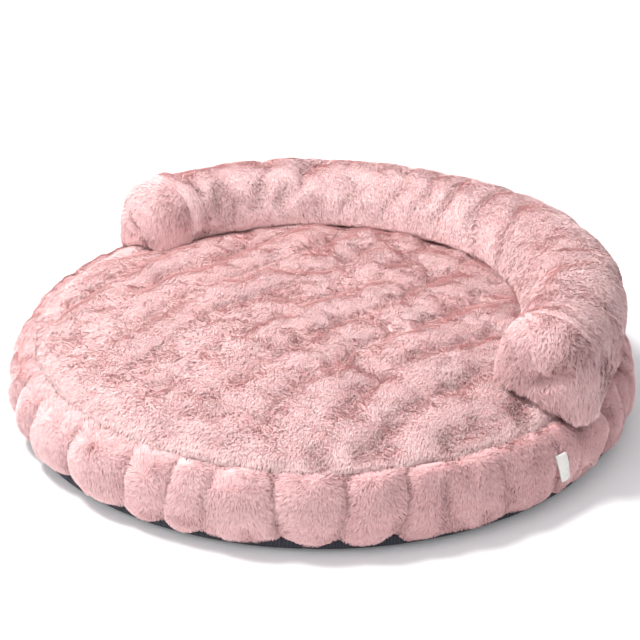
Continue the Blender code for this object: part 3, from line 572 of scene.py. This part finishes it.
def end_cap_grid(azimuth):
    """The domed end of the bolster, whose middle hangs low, with a soft crease across it."""
    section = bolster_section(PILE + 0.002, 1.0)
    ring = round_points(section[:, 0], np.full(len(section), azimuth), section[:, 1])
    ahead = math.radians(azimuth + (90.0 if azimuth > REAR else -90.0))
    outward = np.array([math.cos(ahead), math.sin(ahead), 0.0])
    aside = np.array([math.cos(math.radians(azimuth)), math.sin(math.radians(azimuth)), 0.0])
    ring = ring + outward * CAP_GAP
    middle = round_points(core_radius(1.0), azimuth, END_TIP_HEIGHT - 0.006)
    bulge = END_BULGE - PILE + 0.002
    rings = []
    rows = 48
    for step in range(rows):
        angle = math.pi / 2 * (1.0 - (1.0 - step / (rows - 1)) ** 1.8)
        shrink = max(math.cos(angle) ** 0.5, 0.012)
        rings.append(middle + (ring - middle) * shrink + outward * bulge * math.sin(angle))
    points = np.array(rings)
    spread = points - middle
    spread = spread - (spread @ outward)[..., None] * outward
    reach = np.linalg.norm(spread, axis=-1)
    share = np.clip(reach / 0.06, 0.0, 1.0)
    pucker = CAP_PUCKER * (1.0 - share) ** 2
    up = np.array([0.0, 0.0, 1.0])
    across = spread @ (0.42 * aside - 0.91 * up) + 0.006 * noise(points, 0.05, 84)
    out_along = spread @ (0.91 * aside + 0.42 * up)
    crease = CAP_CREASE * np.exp(-((across + CAP_CREASE_DROP) / CAP_CREASE_WIDTH) ** 2)
    crease = crease * smooth_step((out_along + 0.01) / 0.03)
    rumple = CAP_RUMPLE * np.clip(noise(points, 0.035, 83), 0.0, 1.0)
    rumple = rumple * smooth_step((1.0 - share) * 4.0)
    points -= outward * (pucker + crease * (share < 1.0) + rumple)[..., None]
    points = drooped(points, 1.0)
    columns = points.shape[1]
    faces = grid_faces(rows, columns, wrap_columns=True)
    flat = points.reshape(-1, 3)
    if (face_normals(flat, faces) @ outward).mean() < 0:
        faces = faces[:, ::-1]
    return flat, faces, np.clip(0.5 + 0.6 * noise(flat, 0.030, 85), 0.0, 1.0)


# Pile
def sample(points, faces, crests, count, rng):
    """Points spread evenly over the faces, with the normals and the crest shares there."""
    normals = point_normals(points, faces)
    area = np.linalg.norm(face_normals(points, faces), axis=1) / 2
    chosen = rng.choice(len(faces), size=count, p=area / area.sum())
    across = rng.random((count, 1))
    down = rng.random((count, 1))
    weights = [(1 - across) * (1 - down), across * (1 - down), across * down, (1 - across) * down]
    corners = faces[chosen]

    def blend(values):
        return sum(weight * values[corners[:, corner]] for corner, weight in enumerate(weights))

    return blend(points), unit(blend(normals)), blend(crests[:, None])[:, 0]


def gather(roots, tips, size, seed, pull):
    """Draw the tips of neighbouring strands together into locks about this size."""
    stretched = (roots + 0.35 * size * noise_vectors(roots, size, seed)) / size
    cells = np.floor(stretched).astype(np.int64)
    best = np.full(len(roots), np.inf)
    owner = np.zeros(len(roots), dtype=np.int64)
    for corner in np.ndindex(3, 3, 3):
        cell = cells + np.array(corner) - 1
        centre = cell + 0.5 + 0.42 * np.stack(
            [lattice(cell, seed + extra) for extra in (101, 103, 107)], axis=-1)
        distance = ((stretched - centre) ** 2).sum(axis=1)
        key = ((cell[:, 0] + 4096) * 8192 + cell[:, 1] + 4096) * 8192 + cell[:, 2] + 4096
        closer = distance < best
        best = np.where(closer, distance, best)
        owner = np.where(closer, key, owner)
    _, lock = np.unique(owner, return_inverse=True)
    count = np.bincount(lock)
    middle = np.stack([np.bincount(lock, tips[:, axis]) / count for axis in range(3)], axis=-1)
    return tips + (middle[lock] - tips) * pull[:, None], lock


def strand_mesh(name, roots, knees, tips, sides, widths, tint, normals, material):
    """One mesh of flat strands, each a strip from root to knee and a triangle to its tip."""
    count = len(roots)
    points = np.empty((count, 5, 3), dtype=np.float32)
    across = sides * widths[:, None]
    points[:, 0] = roots - across
    points[:, 1] = roots + across
    points[:, 2] = knees - across * 0.9
    points[:, 3] = knees + across * 0.9
    points[:, 4] = tips
    points[:, :, 2] = np.maximum(points[:, :, 2], FLOOR_CLEARANCE)
    base = np.arange(count, dtype=np.int32)[:, None] * 5
    loops = np.array([0, 1, 3, 2, 2, 3, 4], dtype=np.int32)[None, :] + base
    starts = np.arange(count, dtype=np.int32)[:, None] * 7 + np.array([0, 4], dtype=np.int32)
    mesh = bpy.data.meshes.new(name)
    mesh.vertices.add(count * 5)
    mesh.vertices.foreach_set("co", points.ravel())
    mesh.loops.add(count * 7)
    mesh.loops.foreach_set("vertex_index", loops.ravel())
    mesh.polygons.add(count * 2)
    mesh.polygons.foreach_set("loop_start", starts.ravel())
    mesh.update(calc_edges=True)
    shades = np.empty((count, 7, 2), dtype=np.float32)
    left = (tint - PALETTE_STRIP)[:, None]
    right = (tint + PALETTE_STRIP)[:, None]
    shades[:, :, 0] = np.concatenate([left, right, right, left, left, right, tint[:, None]], axis=1)
    shades[:, :, 1] = np.array([0.02, 0.02, 0.5, 0.5, 0.5, 0.5, 0.98])
    palette = mesh.uv_layers.new(name="OFBake")
    palette.data.foreach_set("uv", shades.ravel())
    mesh.shade_smooth()
    flat = np.cross(sides, unit(tips - roots))
    flat *= np.sign(np.einsum("ij,ij->i", flat, normals))[:, None]
    shading = unit(normals * PILE_SOFTNESS + flat * (1.0 - PILE_SOFTNESS))
    mesh.normals_split_custom_set_from_vertices(np.repeat(shading, 5, axis=0))
    mesh.materials.append(material)
    return add_object(name, mesh)


def grow(name, cover, material, flow, keep, seed, length_share=None, leans=(50.0, 76.0),
         sway=0.6, tousle=0.5, clump=0.0036, broad=1.0, pale=0.5):
    """Cover the faces with strands combed along flow and gathered into locks, which lie smooth on
    the crests of the cover and are ruffled in its hollows. They are painted pale on the crests,
    as painted light, and deeper in the hollows, as painted shade.

    leans are how far the lower and the upper half of a strand lie over, in degrees, and pale is
    how pale the strands are painted: painted light on a lit piece, painted shade on a shaded one.
    """
    points, faces, crests = cover
    rng = np.random.default_rng(seed)
    area = np.linalg.norm(face_normals(points, faces), axis=1).sum() / 2
    roots, normals, level = sample(points, faces, crests, int(area * LOCKS_PER_AREA), rng)
    kept = keep(roots)
    roots = roots[kept]
    normals = normals[kept]
    level = level[kept] - 0.5
    ruffled = 1.0 - 1.4 * level
    count = len(roots)
    comb = flow(roots)
    comb = comb + sway * noise_vectors(roots, 0.045, seed + 1)
    comb = comb + tousle * (1.0 - 1.8 * level)[:, None] * noise_vectors(roots, 0.010, seed + 5)
    comb = comb + 0.25 * ruffled[:, None] * rng.standard_normal((count, 3))
    comb = unit(comb - np.einsum("ij,ij->i", comb, normals)[:, None] * normals)
    tilt = 1.0 + 0.12 * noise(roots, 0.012, seed + 9) + 0.10 * rng.standard_normal(count)
    tilt = tilt + 0.18 * level
    low = np.radians(np.clip(leans[0] * tilt, 15.0, 80.0))
    high = np.radians(np.clip(leans[1] * tilt, 30.0, 96.0))
    length = LOCK_LENGTH * (0.82 + 0.36 * rng.random(count))
    length = length * (1.0 + 0.15 * noise(roots, 0.03, seed + 13))
    if length_share is not None:
        length = length * length_share(roots)
    stray = 0.12 * rng.standard_normal((count, 3)) * (1.0 - level)[:, None]
    rise = normals * np.cos(low)[:, None] + comb * np.sin(low)[:, None] + 0.5 * stray
    lay = normals * np.cos(high)[:, None] + comb * np.sin(high)[:, None] + stray
    knees = roots + unit(rise) * length[:, None] * 0.5
    tips = knees + unit(lay) * length[:, None] * 0.5
    pull = broad * (0.16 + 0.12 * rng.random(count))
    tips, large = gather(roots, tips, 3.0 * clump, seed + 17, pull)
    pull = (0.30 + 0.30 * rng.random(count)) * ruffled
    tips, small = gather(roots, tips, clump, seed + 19, pull)
    knees, _ = gather(roots, knees, clump, seed + 19, np.full(count, 0.2))
    heading = unit(tips - roots)
    sides = np.cross(heading, normals)
    twist = 0.45 * ruffled * np.linalg.norm(sides, axis=1)
    sides = unit(sides + twist[:, None] * rng.standard_normal((count, 3)))
    sides = unit(sides - np.einsum("ij,ij->i", sides, heading)[:, None] * heading)
    widths = LOCK_WIDTH / 2 * (0.75 + 0.5 * rng.random(count))
    lock_tone = lattice(np.stack([small, large, small * 0 + seed], axis=-1), 7)
    # Painted light and shade: each piece, or each side of the band, is painted as pale as the light
    # that falls on it.
    painted_light = pale(roots) if callable(pale) else pale
    tint = painted_light + 0.16 * lock_tone + 0.12 * noise(roots, 0.06, seed + 29)
    # Painted light and shade: strands are painted paler on the crests of the cover and deeper in its
    # hollows.
    tint = tint + 0.09 * rng.standard_normal(count) + 0.26 * level
    tint = np.clip(tint, 0.03, 0.97)
    pieces = max(1, math.ceil(count / MOST_LOCKS))
    made = []
    for index in range(pieces):
        part = slice(index, None, pieces)
        label = name if pieces == 1 else f"{name}_{index + 1}"
        made.append(strand_mesh(label, roots[part], knees[part], tips[part], sides[part],
                                widths[part], tint[part], normals[part], material))
    return made


# Materials
def set_inputs(node, values):
    for key, value in values.items():
        node.inputs[key].default_value = value


def new_material(name, roughness, metallic=0.0):
    material = bpy.data.materials.new(name)
    material.use_nodes = True
    tree = material.node_tree
    shader = tree.nodes["Principled BSDF"]
    set_inputs(shader, {"Roughness": roughness, "Metallic": metallic})
    return material, tree, shader


def add_node(tree, kind, **values):
    node = tree.nodes.new(kind)
    set_values(node, **values)
    return node


def add_noise(tree, place, scale, detail):
    texture = add_node(tree, "ShaderNodeTexNoise")
    set_inputs(texture, {"Scale": scale, "Detail": detail})
    tree.links.new(place, texture.inputs["Vector"])
    return texture.outputs["Fac"]


def add_ramp(tree, factor, stops):
    """The colour that this factor picks from the stops."""
    node = add_node(tree, "ShaderNodeValToRGB")
    ramp = node.color_ramp
    while len(ramp.elements) < len(stops):
        ramp.elements.new(0.5)
    for element, (position, colour) in zip(ramp.elements, stops):
        element.position = position
        element.color = (*colour, 1.0)
    tree.links.new(factor, node.inputs["Fac"])
    return node.outputs["Color"]


def add_bump(tree, shader, height, strength, distance):
    bump = add_node(tree, "ShaderNodeBump")
    set_inputs(bump, {"Strength": strength, "Distance": distance})
    tree.links.new(height, bump.inputs["Height"])
    tree.links.new(bump.outputs["Normal"], shader.inputs["Normal"])


def scaled(colour, share):
    return tuple(min(value * share, 1.0) for value in colour)


def mixed(first, second, share):
    return tuple(a + (b - a) * share for a, b in zip(first, second))


def pile_material():
    """Strands: deep rose at the root, pale pink at the tip, lighter or deeper from lock to lock,
    and painted paler where light falls and deeper where shade falls.
    """
    material, tree, shader = new_material("plush_pile", 0.78)
    set_inputs(shader, {"Specular IOR Level": 0.14, "Sheen Weight": 0.16,
                        "Sheen Roughness": 0.45, "Sheen Tint": (1.0, 0.80, 0.80, 1.0)})
    uv = add_node(tree, "ShaderNodeUVMap", uv_map="OFBake")
    parts = add_node(tree, "ShaderNodeSeparateXYZ")
    tree.links.new(uv.outputs["UV"], parts.inputs[0])
    along = parts.outputs["Y"]
    # The deep ramp is a darkened copy of the strand colours, painted shade, and the pale ramp a
    # lightened copy, painted light; the first palette coordinate picks between them.
    deep = add_ramp(tree, along, [(0.0, scaled(ROOT_ROSE, 0.8)), (0.5, scaled(MIDDLE_ROSE, 0.84)),
                                  (1.0, mixed(MIDDLE_ROSE, TIP_PINK, 0.34))])
    pale = add_ramp(tree, along, [(0.0, mixed(ROOT_ROSE, LIT_PINK, 0.26)),
                                  (0.5, mixed(MIDDLE_ROSE, LIT_PINK, 0.6)), (1.0, LIT_PINK)])
    mix = add_node(tree, "ShaderNodeMix", data_type="RGBA")
    tree.links.new(parts.outputs["X"], mix.inputs["Factor"])
    tree.links.new(deep, mix.inputs[6])
    tree.links.new(pale, mix.inputs[7])
    tree.links.new(mix.outputs[2], shader.inputs["Base Color"])
    return material


def backing_material():
    """The knitted ground of the plush, deep rose where it shows between the locks."""
    material, tree, shader = new_material("plush_ground", 0.95)
    place = add_node(tree, "ShaderNodeTexCoord").outputs["Object"]
    cloud = add_noise(tree, place, 45.0, 6.0)
    colour = add_ramp(tree, cloud, [(0.3, mixed(ROOT_ROSE, MIDDLE_ROSE, 0.35)), (0.75, MIDDLE_ROSE)])
    tree.links.new(colour, shader.inputs["Base Color"])
    add_bump(tree, shader, add_noise(tree, place, 420.0, 4.0), strength=0.6, distance=0.002)
    return material


def woven_material(name, light, dark, threads, roughness, depth=0.0004):
    """A plain weave of over and under threads, this many to the metre, with uneven yarn."""
    material, tree, shader = new_material(name, roughness)
    place = add_node(tree, "ShaderNodeTexCoord").outputs["Object"]
    weave = add_node(tree, "ShaderNodeMath", operation="MULTIPLY")
    for direction, factor in zip("XY", weave.inputs):
        wave = add_node(tree, "ShaderNodeTexWave", wave_type="BANDS", bands_direction=direction)
        set_inputs(wave, {"Scale": threads / 20.0 * math.pi, "Distortion": 0.6, "Detail": 1.0})
        tree.links.new(place, wave.inputs["Vector"])
        tree.links.new(wave.outputs["Fac"], factor)
    total = add_node(tree, "ShaderNodeMath", operation="MULTIPLY_ADD")
    tree.links.new(add_noise(tree, place, 60.0, 5.0), total.inputs[0])
    total.inputs[1].default_value = 0.5
    tree.links.new(weave.outputs[0], total.inputs[2])
    colour = add_ramp(tree, total.outputs[0], [(0.15, dark), (0.95, light)])
    tree.links.new(colour, shader.inputs["Base Color"])
    add_bump(tree, shader, weave.outputs[0], strength=0.5, distance=depth)
    return material


def worn_material(name, light, dark, roughness, metallic):
    """Moulded plastic or cast metal, a little uneven in tone and polish."""
    material, tree, shader = new_material(name, roughness, metallic)
    place = add_node(tree, "ShaderNodeTexCoord").outputs["Object"]
    cloud = add_noise(tree, place, 700.0, 5.0)
    colour = add_ramp(tree, cloud, [(0.3, dark), (0.7, light)])
    tree.links.new(colour, shader.inputs["Base Color"])
    polish = add_node(tree, "ShaderNodeMapRange")
    set_inputs(polish, {"To Min": roughness * 0.75, "To Max": min(roughness * 1.3, 1.0)})
    tree.links.new(cloud, polish.inputs["Value"])
    tree.links.new(polish.outputs["Result"], shader.inputs["Roughness"])
    return material


# Pieces
def settle(piece, slot, *nodes, fill=None):
    """Fix a piece to the bed and hide the solids that it stands for."""
    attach(piece, "root")
    if nodes:
        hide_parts(*nodes)


def under_bolster(points, margin):
    """Points of the top panel that the bolster stands on."""
    inner = BOLSTER_FOOT_RADIUS + margin
    aside = (azimuth_of(points) - REAR + 180.0) % 360.0 - 180.0
    half_angle = BOLSTER_HALF_ANGLE + 6.5 - 200.0 * margin
    return (radius_of(points) > inner) & (np.abs(aside) < half_angle)


def build_cover(name, cover, ground, node, fill):
    """The knitted ground of a cover."""
    piece = add_mesh(name, *cover[:2], ground)
    thicken(piece, "backing", BACKING)
    settle(piece, "plush", node, fill=fill)


def build_pile(name, cover, pile, flow, keep, seed, **habit):
    for strands in grow(name, cover, pile, flow, keep, seed, **habit):
        settle(strands, "plush")


def build_top_plush(ground, pile):
    cover = top_panel_grid()
    build_cover("top_cover", cover, ground, "base_top_panel", 0.7)

    def flow(roots):
        rim = smooth_step((radius_of(roots) / TOP_SEAM_RADIUS - 0.85) / 0.12)
        return 0.9 * outward_of(roots) * rim[:, None] + np.array([0.35, -0.9, 0.0])

    def keep(roots):
        return ~under_bolster(roots, 0.024)

    # Painted light: the top's strands are painted pale, as lit from above.
    build_pile("pile_top", cover, pile, flow, keep, 1000, leans=(46.0, 74.0), sway=0.35,
               tousle=0.3, clump=0.0026, broad=0.3, pale=0.85)


def band_flow(roots):
    """Down and into the gathers, but combed inward over the seam at the left."""
    azimuth = azimuth_of(roots)
    step = 0.6
    slope = lobe_valley(azimuth + step) - lobe_valley(azimuth - step)
    turn = np.radians(azimuth)
    aside = np.stack([-np.sin(turn), np.cos(turn), 0 * turn], axis=-1)
    inward = -np.stack([np.cos(turn), np.sin(turn), -0.4 + 0 * turn], axis=-1)
    near = smooth_step((roots[:, 2] - TOP_SEAM_HEIGHT + 0.024) / 0.012)
    over = np.cos(np.radians(azimuth - LIT_SIDE_AZIMUTH))
    over = np.clip(0.9 * noise(roots, 0.04, 47) + over, 0.0, 1.0)
    flow = np.array([0.0, 0.0, -1.0]) + aside * np.clip(slope * 2.0, -0.7, 0.7)[:, None]
    return flow + (2.0 * inward - flow) * (near * over)[:, None]


def band_keep(roots):
    """All but the place behind the label."""
    beside = np.radians(azimuth_of(roots) - LABEL_AZIMUTH) * GIRTH_RADIUS
    height = roots[:, 2]
    covered = (np.abs(beside) < LABEL_CLEARING) & (height < LABEL_TOP) & (height > LABEL_LOW + 0.004)
    return ~covered


def band_length(roots):
    """Shorter towards the hem, and most of all in the arch over the zip."""
    low = np.clip((0.045 - roots[:, 2]) / 0.02, 0.0, 1.0)
    hem = 0.5 + 0.5 * smooth_step((roots[:, 2] - HEM_HEIGHT - 0.008) / 0.016)
    return (1.0 - 0.6 * arch_share(azimuth_of(roots)) * low) * hem


# Painted light and shade: the band's strands are painted paler on its side towards the key lamp and
# deeper on its side away from it.
def band_painted_light(roots):
    return 0.12 + 0.26 * np.cos(np.radians(azimuth_of(roots) - LIT_SIDE_AZIMUTH))


def build_band_plush(ground, pile):
    cover = side_band_grid()
    build_cover("side_band", cover, ground, "base_side_band", 0.8)
    build_pile("pile_band", cover, pile, band_flow, band_keep, 2000, length_share=band_length,
               tousle=0.4, clump=0.0030, broad=0.6, pale=band_painted_light)
    return cover[0]


def bolster_keep(roots):
    """Only what stands clear of the top panel."""
    return roots[:, 2] > crown(radius_of(roots)) - 0.001


def build_bolster_plush(ground, pile):
    cover = bolster_grid()
    build_cover("bolster_plush", cover, ground, "bolster_cover", 0.85)

    def flow(roots):
        side = np.clip((radius_of(roots) - BOLSTER_RADIUS) / 0.04, -1.0, 1.0)[:, None]
        down = np.array([0.0, 0.0, -0.6])
        return down + outward_of(roots) * side * 0.5 + np.array([0.80, -0.35, 0.0])

    # Painted light: the bolster's strands are painted pale, as lit from above.
    build_pile("pile_bolster", cover, pile, flow, bolster_keep, 3000, sway=0.4, tousle=0.35,
               clump=0.0030, broad=0.6, pale=0.74)


def build_end_plush(ground, pile, side, azimuth):
    """The domed end of the bolster, with its strands combed outward from high on its middle."""
    cover = end_cap_grid(azimuth)
    build_cover(f"end_cap_{side}", cover, ground, f"bolster_end_cap_{side}", 0.85)
    source = round_points(core_radius(1.0) - 0.02, azimuth, END_TIP_HEIGHT + 0.045)

    def flow(roots):
        return unit(roots - source) + np.array([0.0, 0.0, -0.35])

    def length_share(roots):
        free = roots[:, 2] - crown(radius_of(roots))
        return 1.15 + 0.9 * np.clip(1.0 - (free - 0.004) / 0.030, 0.0, 1.0)

    # Painted shade: the caps' strands are painted deeper, as the ends of the bolster are in shade.
    build_pile(f"pile_cap_{side}", cover, pile, flow, bolster_keep, 4000 + int(azimuth),
               length_share=length_share, pale=0.40)


def build_plush():
    """All covers with their pile. The points of the side band are for the label to lie on."""
    ground = backing_material()
    pile = pile_material()
    build_top_plush(ground, pile)
    band_points = build_band_plush(ground, pile)
    build_bolster_plush(ground, pile)
    build_end_plush(ground, pile, "right", REAR - BOLSTER_HALF_ANGLE)
    build_end_plush(ground, pile, "left", REAR + BOLSTER_HALF_ANGLE)
    return band_points


def build_label(band_points):
    """Blank folded label: two layers of woven ribbon, joined by a fold at the lower end."""
    columns, rows = 9, 57
    near = band_points[np.abs(azimuth_of(band_points) - LABEL_AZIMUTH) < 1.6]
    near = near[near[:, 2] > HEM_HEIGHT + 0.012]
    order = near[np.argsort(near[:, 2])]
    points = []
    for row in range(rows):
        down = row / (rows - 1) * 2.0
        share = min(down, 2.0 - down)
        layer = math.cos(math.pi * min(max((down - 0.96) / 0.08, 0.0), 1.0))
        height = LABEL_TOP + (LABEL_LOW - LABEL_TOP) * share
        beside = order[np.abs(order[:, 2] - height) < 0.010]
        radius = float(radius_of(beside).mean())
        radius += PILE + LABEL_PLY * layer + (0.3 * PILE + LABEL_LIFT) * share**2
        shift = LABEL_SLANT * (share - 0.5)
        for column in range(columns):
            aside = column / (columns - 1) * 2.0 - 1.0
            corner = 0.0016 * max(share - 0.93, 0.0) / 0.07 * abs(aside) ** 3
            bow = 0.0012 * math.sin(3.0 * share + aside) - 0.0010 * aside**2
            beside_middle = aside * LABEL_WIDTH / 2 * (1 - 0.05 * max(share - 0.9, 0) * 10) + shift
            azimuth = LABEL_AZIMUTH + math.degrees(beside_middle / GIRTH_RADIUS)
            points.append(round_points(radius + bow, azimuth, height + corner))
    faces = grid_faces(rows, columns)
    points = np.array(points)
    outward = round_points(1.0, LABEL_AZIMUTH, 0.0)
    if (face_normals(points, faces)[:len(faces) // 2] @ outward).mean() < 0:
        faces = faces[:, ::-1]
    material = woven_material("label_weave", (0.87, 0.85, 0.81), (0.70, 0.68, 0.64),
                              threads=2600, roughness=0.7, depth=0.0001)
    label = add_mesh("blank_label", points, faces, material)
    thicken(label, "ribbon", RIBBON, offset=0.0)
    smooth = label.modifiers.new("soft edges", "SUBSURF")
    smooth.levels = 1
    smooth.render_levels = 1
    settle(label, "label", "woven_label")


def build_fillings():
    """The fibre-filled inner cushions inside the covers."""
    material = woven_material("lining_weave", (0.86, 0.85, 0.83), (0.70, 0.69, 0.67),
                              threads=900, roughness=0.9)
    for name, node, fill, room in (
            ("base_filling", "base_inner_cushion", 0.75, BASE_FILLING_ROOM),
            ("bolster_filling", "bolster_inner_cushion", 0.85, BOLSTER_FILLING_ROOM)):
        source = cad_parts[node]
        mesh = source.data.copy()
        mesh.name = name
        mesh.materials.clear()
        mesh.materials.append(material)
        built = bmesh.new()
        built.from_mesh(mesh)
        bmesh.ops.remove_doubles(built, verts=built.verts, dist=0.00005)
        bmesh.ops.recalc_face_normals(built, faces=built.faces)
        built.normal_update()
        for corner in built.verts:
            corner.co -= corner.normal * room
        built.to_mesh(mesh)
        built.free()
        mesh.shade_smooth()
        settle(add_object(name, mesh), "lining", node, fill=fill)


def build_underside():
    """Dark woven panel, turned up behind the hem."""
    columns = 360
    azimuth = np.linspace(0.0, 360.0, columns, endpoint=False)
    wall = HEM_RADIUS - UNDERSIDE_WALL_INSET
    edge = FLOOR_EDGE_RADIUS
    outline = [(edge * share, 0.0) for share in (0.02, 0.25, 0.5, 0.75, 0.9)]
    outline += [(edge, 0.0), (edge + 0.010, 0.0008), (edge + 0.018, 0.0032), (wall - 0.001, 0.0078),
                (wall, 0.0115), (wall, RIM_HEIGHT)]
    rings = []
    for radius, height in outline:
        rim = height + np.zeros(columns)
        if height > 0.01:
            behind_zip = rear_share(azimuth, RIM_HALF_ANGLE, RIM_RAMP_ANGLE)
            rim = rim + (RIM_HEIGHT_BEHIND_ZIP - RIM_HEIGHT) * behind_zip * (height / RIM_HEIGHT)
        ripple = UNDERSIDE_RIPPLE * noise(round_points(radius, azimuth, 0.0), 0.02, 91)
        rim = rim + np.clip(ripple, 0.0, 1.0) * (height > 0.0005)
        rings.append(round_points(radius, azimuth, rim + UNDERSIDE_LIFT))
    points = np.array(rings).reshape(-1, 3)
    faces = grid_faces(len(outline), columns, wrap_columns=True)
    normals = face_normals(points, faces)
    if normals[:, 2].mean() > 0:
        faces = faces[:, ::-1]
    faces = [tuple(face) for face in faces]
    fan = tuple(range(columns))
    material = woven_material("underside_weave", (0.035, 0.036, 0.050), (0.010, 0.010, 0.016),
                              threads=700, roughness=0.85)
    piece = add_mesh("underside", points, faces + [fan], material)
    thicken(piece, "fabric", FABRIC)
    settle(piece, "underside", "base_bottom_panel")


def finish_zip():
    """Finer materials for the zip's solids, which keep their shape."""
    tape = woven_material("zip_tape_weave", (0.66, 0.36, 0.37), (0.44, 0.20, 0.21),
                          threads=1500, roughness=0.85, depth=0.0001)
    teeth = worn_material("zip_tooth_plastic", (0.68, 0.38, 0.39), (0.56, 0.28, 0.29),
                          roughness=0.42, metallic=0.0)
    metal = worn_material("zip_nickel", (0.66, 0.65, 0.64), (0.46, 0.45, 0.45),
                          roughness=0.30, metallic=1.0)
    for node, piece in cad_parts.items():
        if not node.startswith("zipper"):
            continue
        material = metal
        if "tape" in node:
            material = tape
        elif "teeth" in node:
            material = teeth
        piece.data.materials.clear()
        piece.data.materials.append(material)


# Studio
def add_seen(tree):
    """A value of 1 for what the camera sees, directly, in a polish or through glass."""
    path = add_node(tree, "ShaderNodeLightPath")
    direct = add_node(tree, "ShaderNodeMath", operation="MAXIMUM")
    every = add_node(tree, "ShaderNodeMath", operation="MAXIMUM")
    tree.links.new(path.outputs["Is Camera Ray"], direct.inputs[0])
    tree.links.new(path.outputs["Is Glossy Ray"], direct.inputs[1])
    tree.links.new(direct.outputs[0], every.inputs[0])
    tree.links.new(path.outputs["Is Transmission Ray"], every.inputs[1])
    return every.outputs[0]


def studio_white():
    """White floor, which glows a little to the camera only."""
    material, tree, shader = new_material("studio_white", 0.9)
    set_inputs(shader, {"Base Color": (0.93, 0.93, 0.94, 1.0), "Specular IOR Level": 0.1})
    glow = add_node(tree, "ShaderNodeEmission")
    glow.inputs["Color"].default_value = (1.0, 1.0, 1.0, 1.0)
    share = add_node(tree, "ShaderNodeMath", operation="MULTIPLY")
    share.inputs[1].default_value = FLOOR_GLOW
    tree.links.new(add_seen(tree), share.inputs[0])
    tree.links.new(share.outputs[0], glow.inputs["Strength"])
    total = add_node(tree, "ShaderNodeAddShader")
    tree.links.new(shader.outputs[0], total.inputs[0])
    tree.links.new(glow.outputs[0], total.inputs[1])
    tree.links.new(total.outputs[0], tree.nodes["Material Output"].inputs["Surface"])
    return material


def build_floor():
    floor_mesh = bpy.data.meshes.new("studio_floor")
    built = bmesh.new()
    bmesh.ops.create_grid(built, x_segments=8, y_segments=8, size=9.0)
    built.to_mesh(floor_mesh)
    built.free()
    floor_mesh.materials.append(studio_white())
    add_object("studio_floor", floor_mesh)


def build_world():
    """A white background, which lights the bed less brightly than the camera sees it."""
    world = bpy.data.worlds.new("studio")
    bpy.context.scene.world = world
    world.use_nodes = True
    tree = world.node_tree
    tree.nodes.clear()
    output = add_node(tree, "ShaderNodeOutputWorld")
    choose = add_node(tree, "ShaderNodeMixShader")
    tree.links.new(add_seen(tree), choose.inputs["Fac"])
    lighting = ((0.97, 0.975, 1.0, 1.0), AMBIENT_STRENGTH, choose.inputs[1])
    backdrop = ((1.0, 1.0, 1.0, 1.0), 1.0, choose.inputs[2])
    for colour, strength, socket in (lighting, backdrop):
        light = add_node(tree, "ShaderNodeBackground")
        set_inputs(light, {"Color": colour, "Strength": strength})
        tree.links.new(light.outputs[0], socket)
    tree.links.new(choose.outputs[0], output.inputs["Surface"])


def aim(item, place, target):
    item.location = place
    item.rotation_euler = (Vector(target) - Vector(place)).to_track_quat("-Z", "Y").to_euler()


def add_lamp(name, place, target, size, power, colour=(1.0, 1.0, 1.0)):
    light = bpy.data.lights.new(name, "AREA")
    light.shape = "DISK"
    light.size = size
    light.energy = power
    light.color = colour
    aim(add_object(name, light), place, target)


def build_lamps():
    middle = (0.0, 0.0, 0.1)
    add_lamp("key", (-1.15, -0.50, 2.70), middle, size=1.1, power=131.0, colour=(1.0, 0.985, 0.965))
    add_lamp("fill", (-0.2, -2.5, 1.5), middle, size=2.2, power=20.0)


def build_camera():
    camera_data = bpy.data.cameras.new("photo_view")
    camera_data.sensor_width = 36.0
    camera_data.lens = 86.2
    camera = add_object("photo_view", camera_data)
    aim(camera, (1.3525, -1.5021, 1.0975), (-0.0851, 0.0917, 0.046))
    bpy.context.scene.camera = camera


build_camera()
build_floor()
build_world()
build_lamps()
band_points = build_plush()
build_label(band_points)
build_fillings()
build_underside()
finish_zip()

bpy.context.scene.view_settings.view_transform = "Standard"
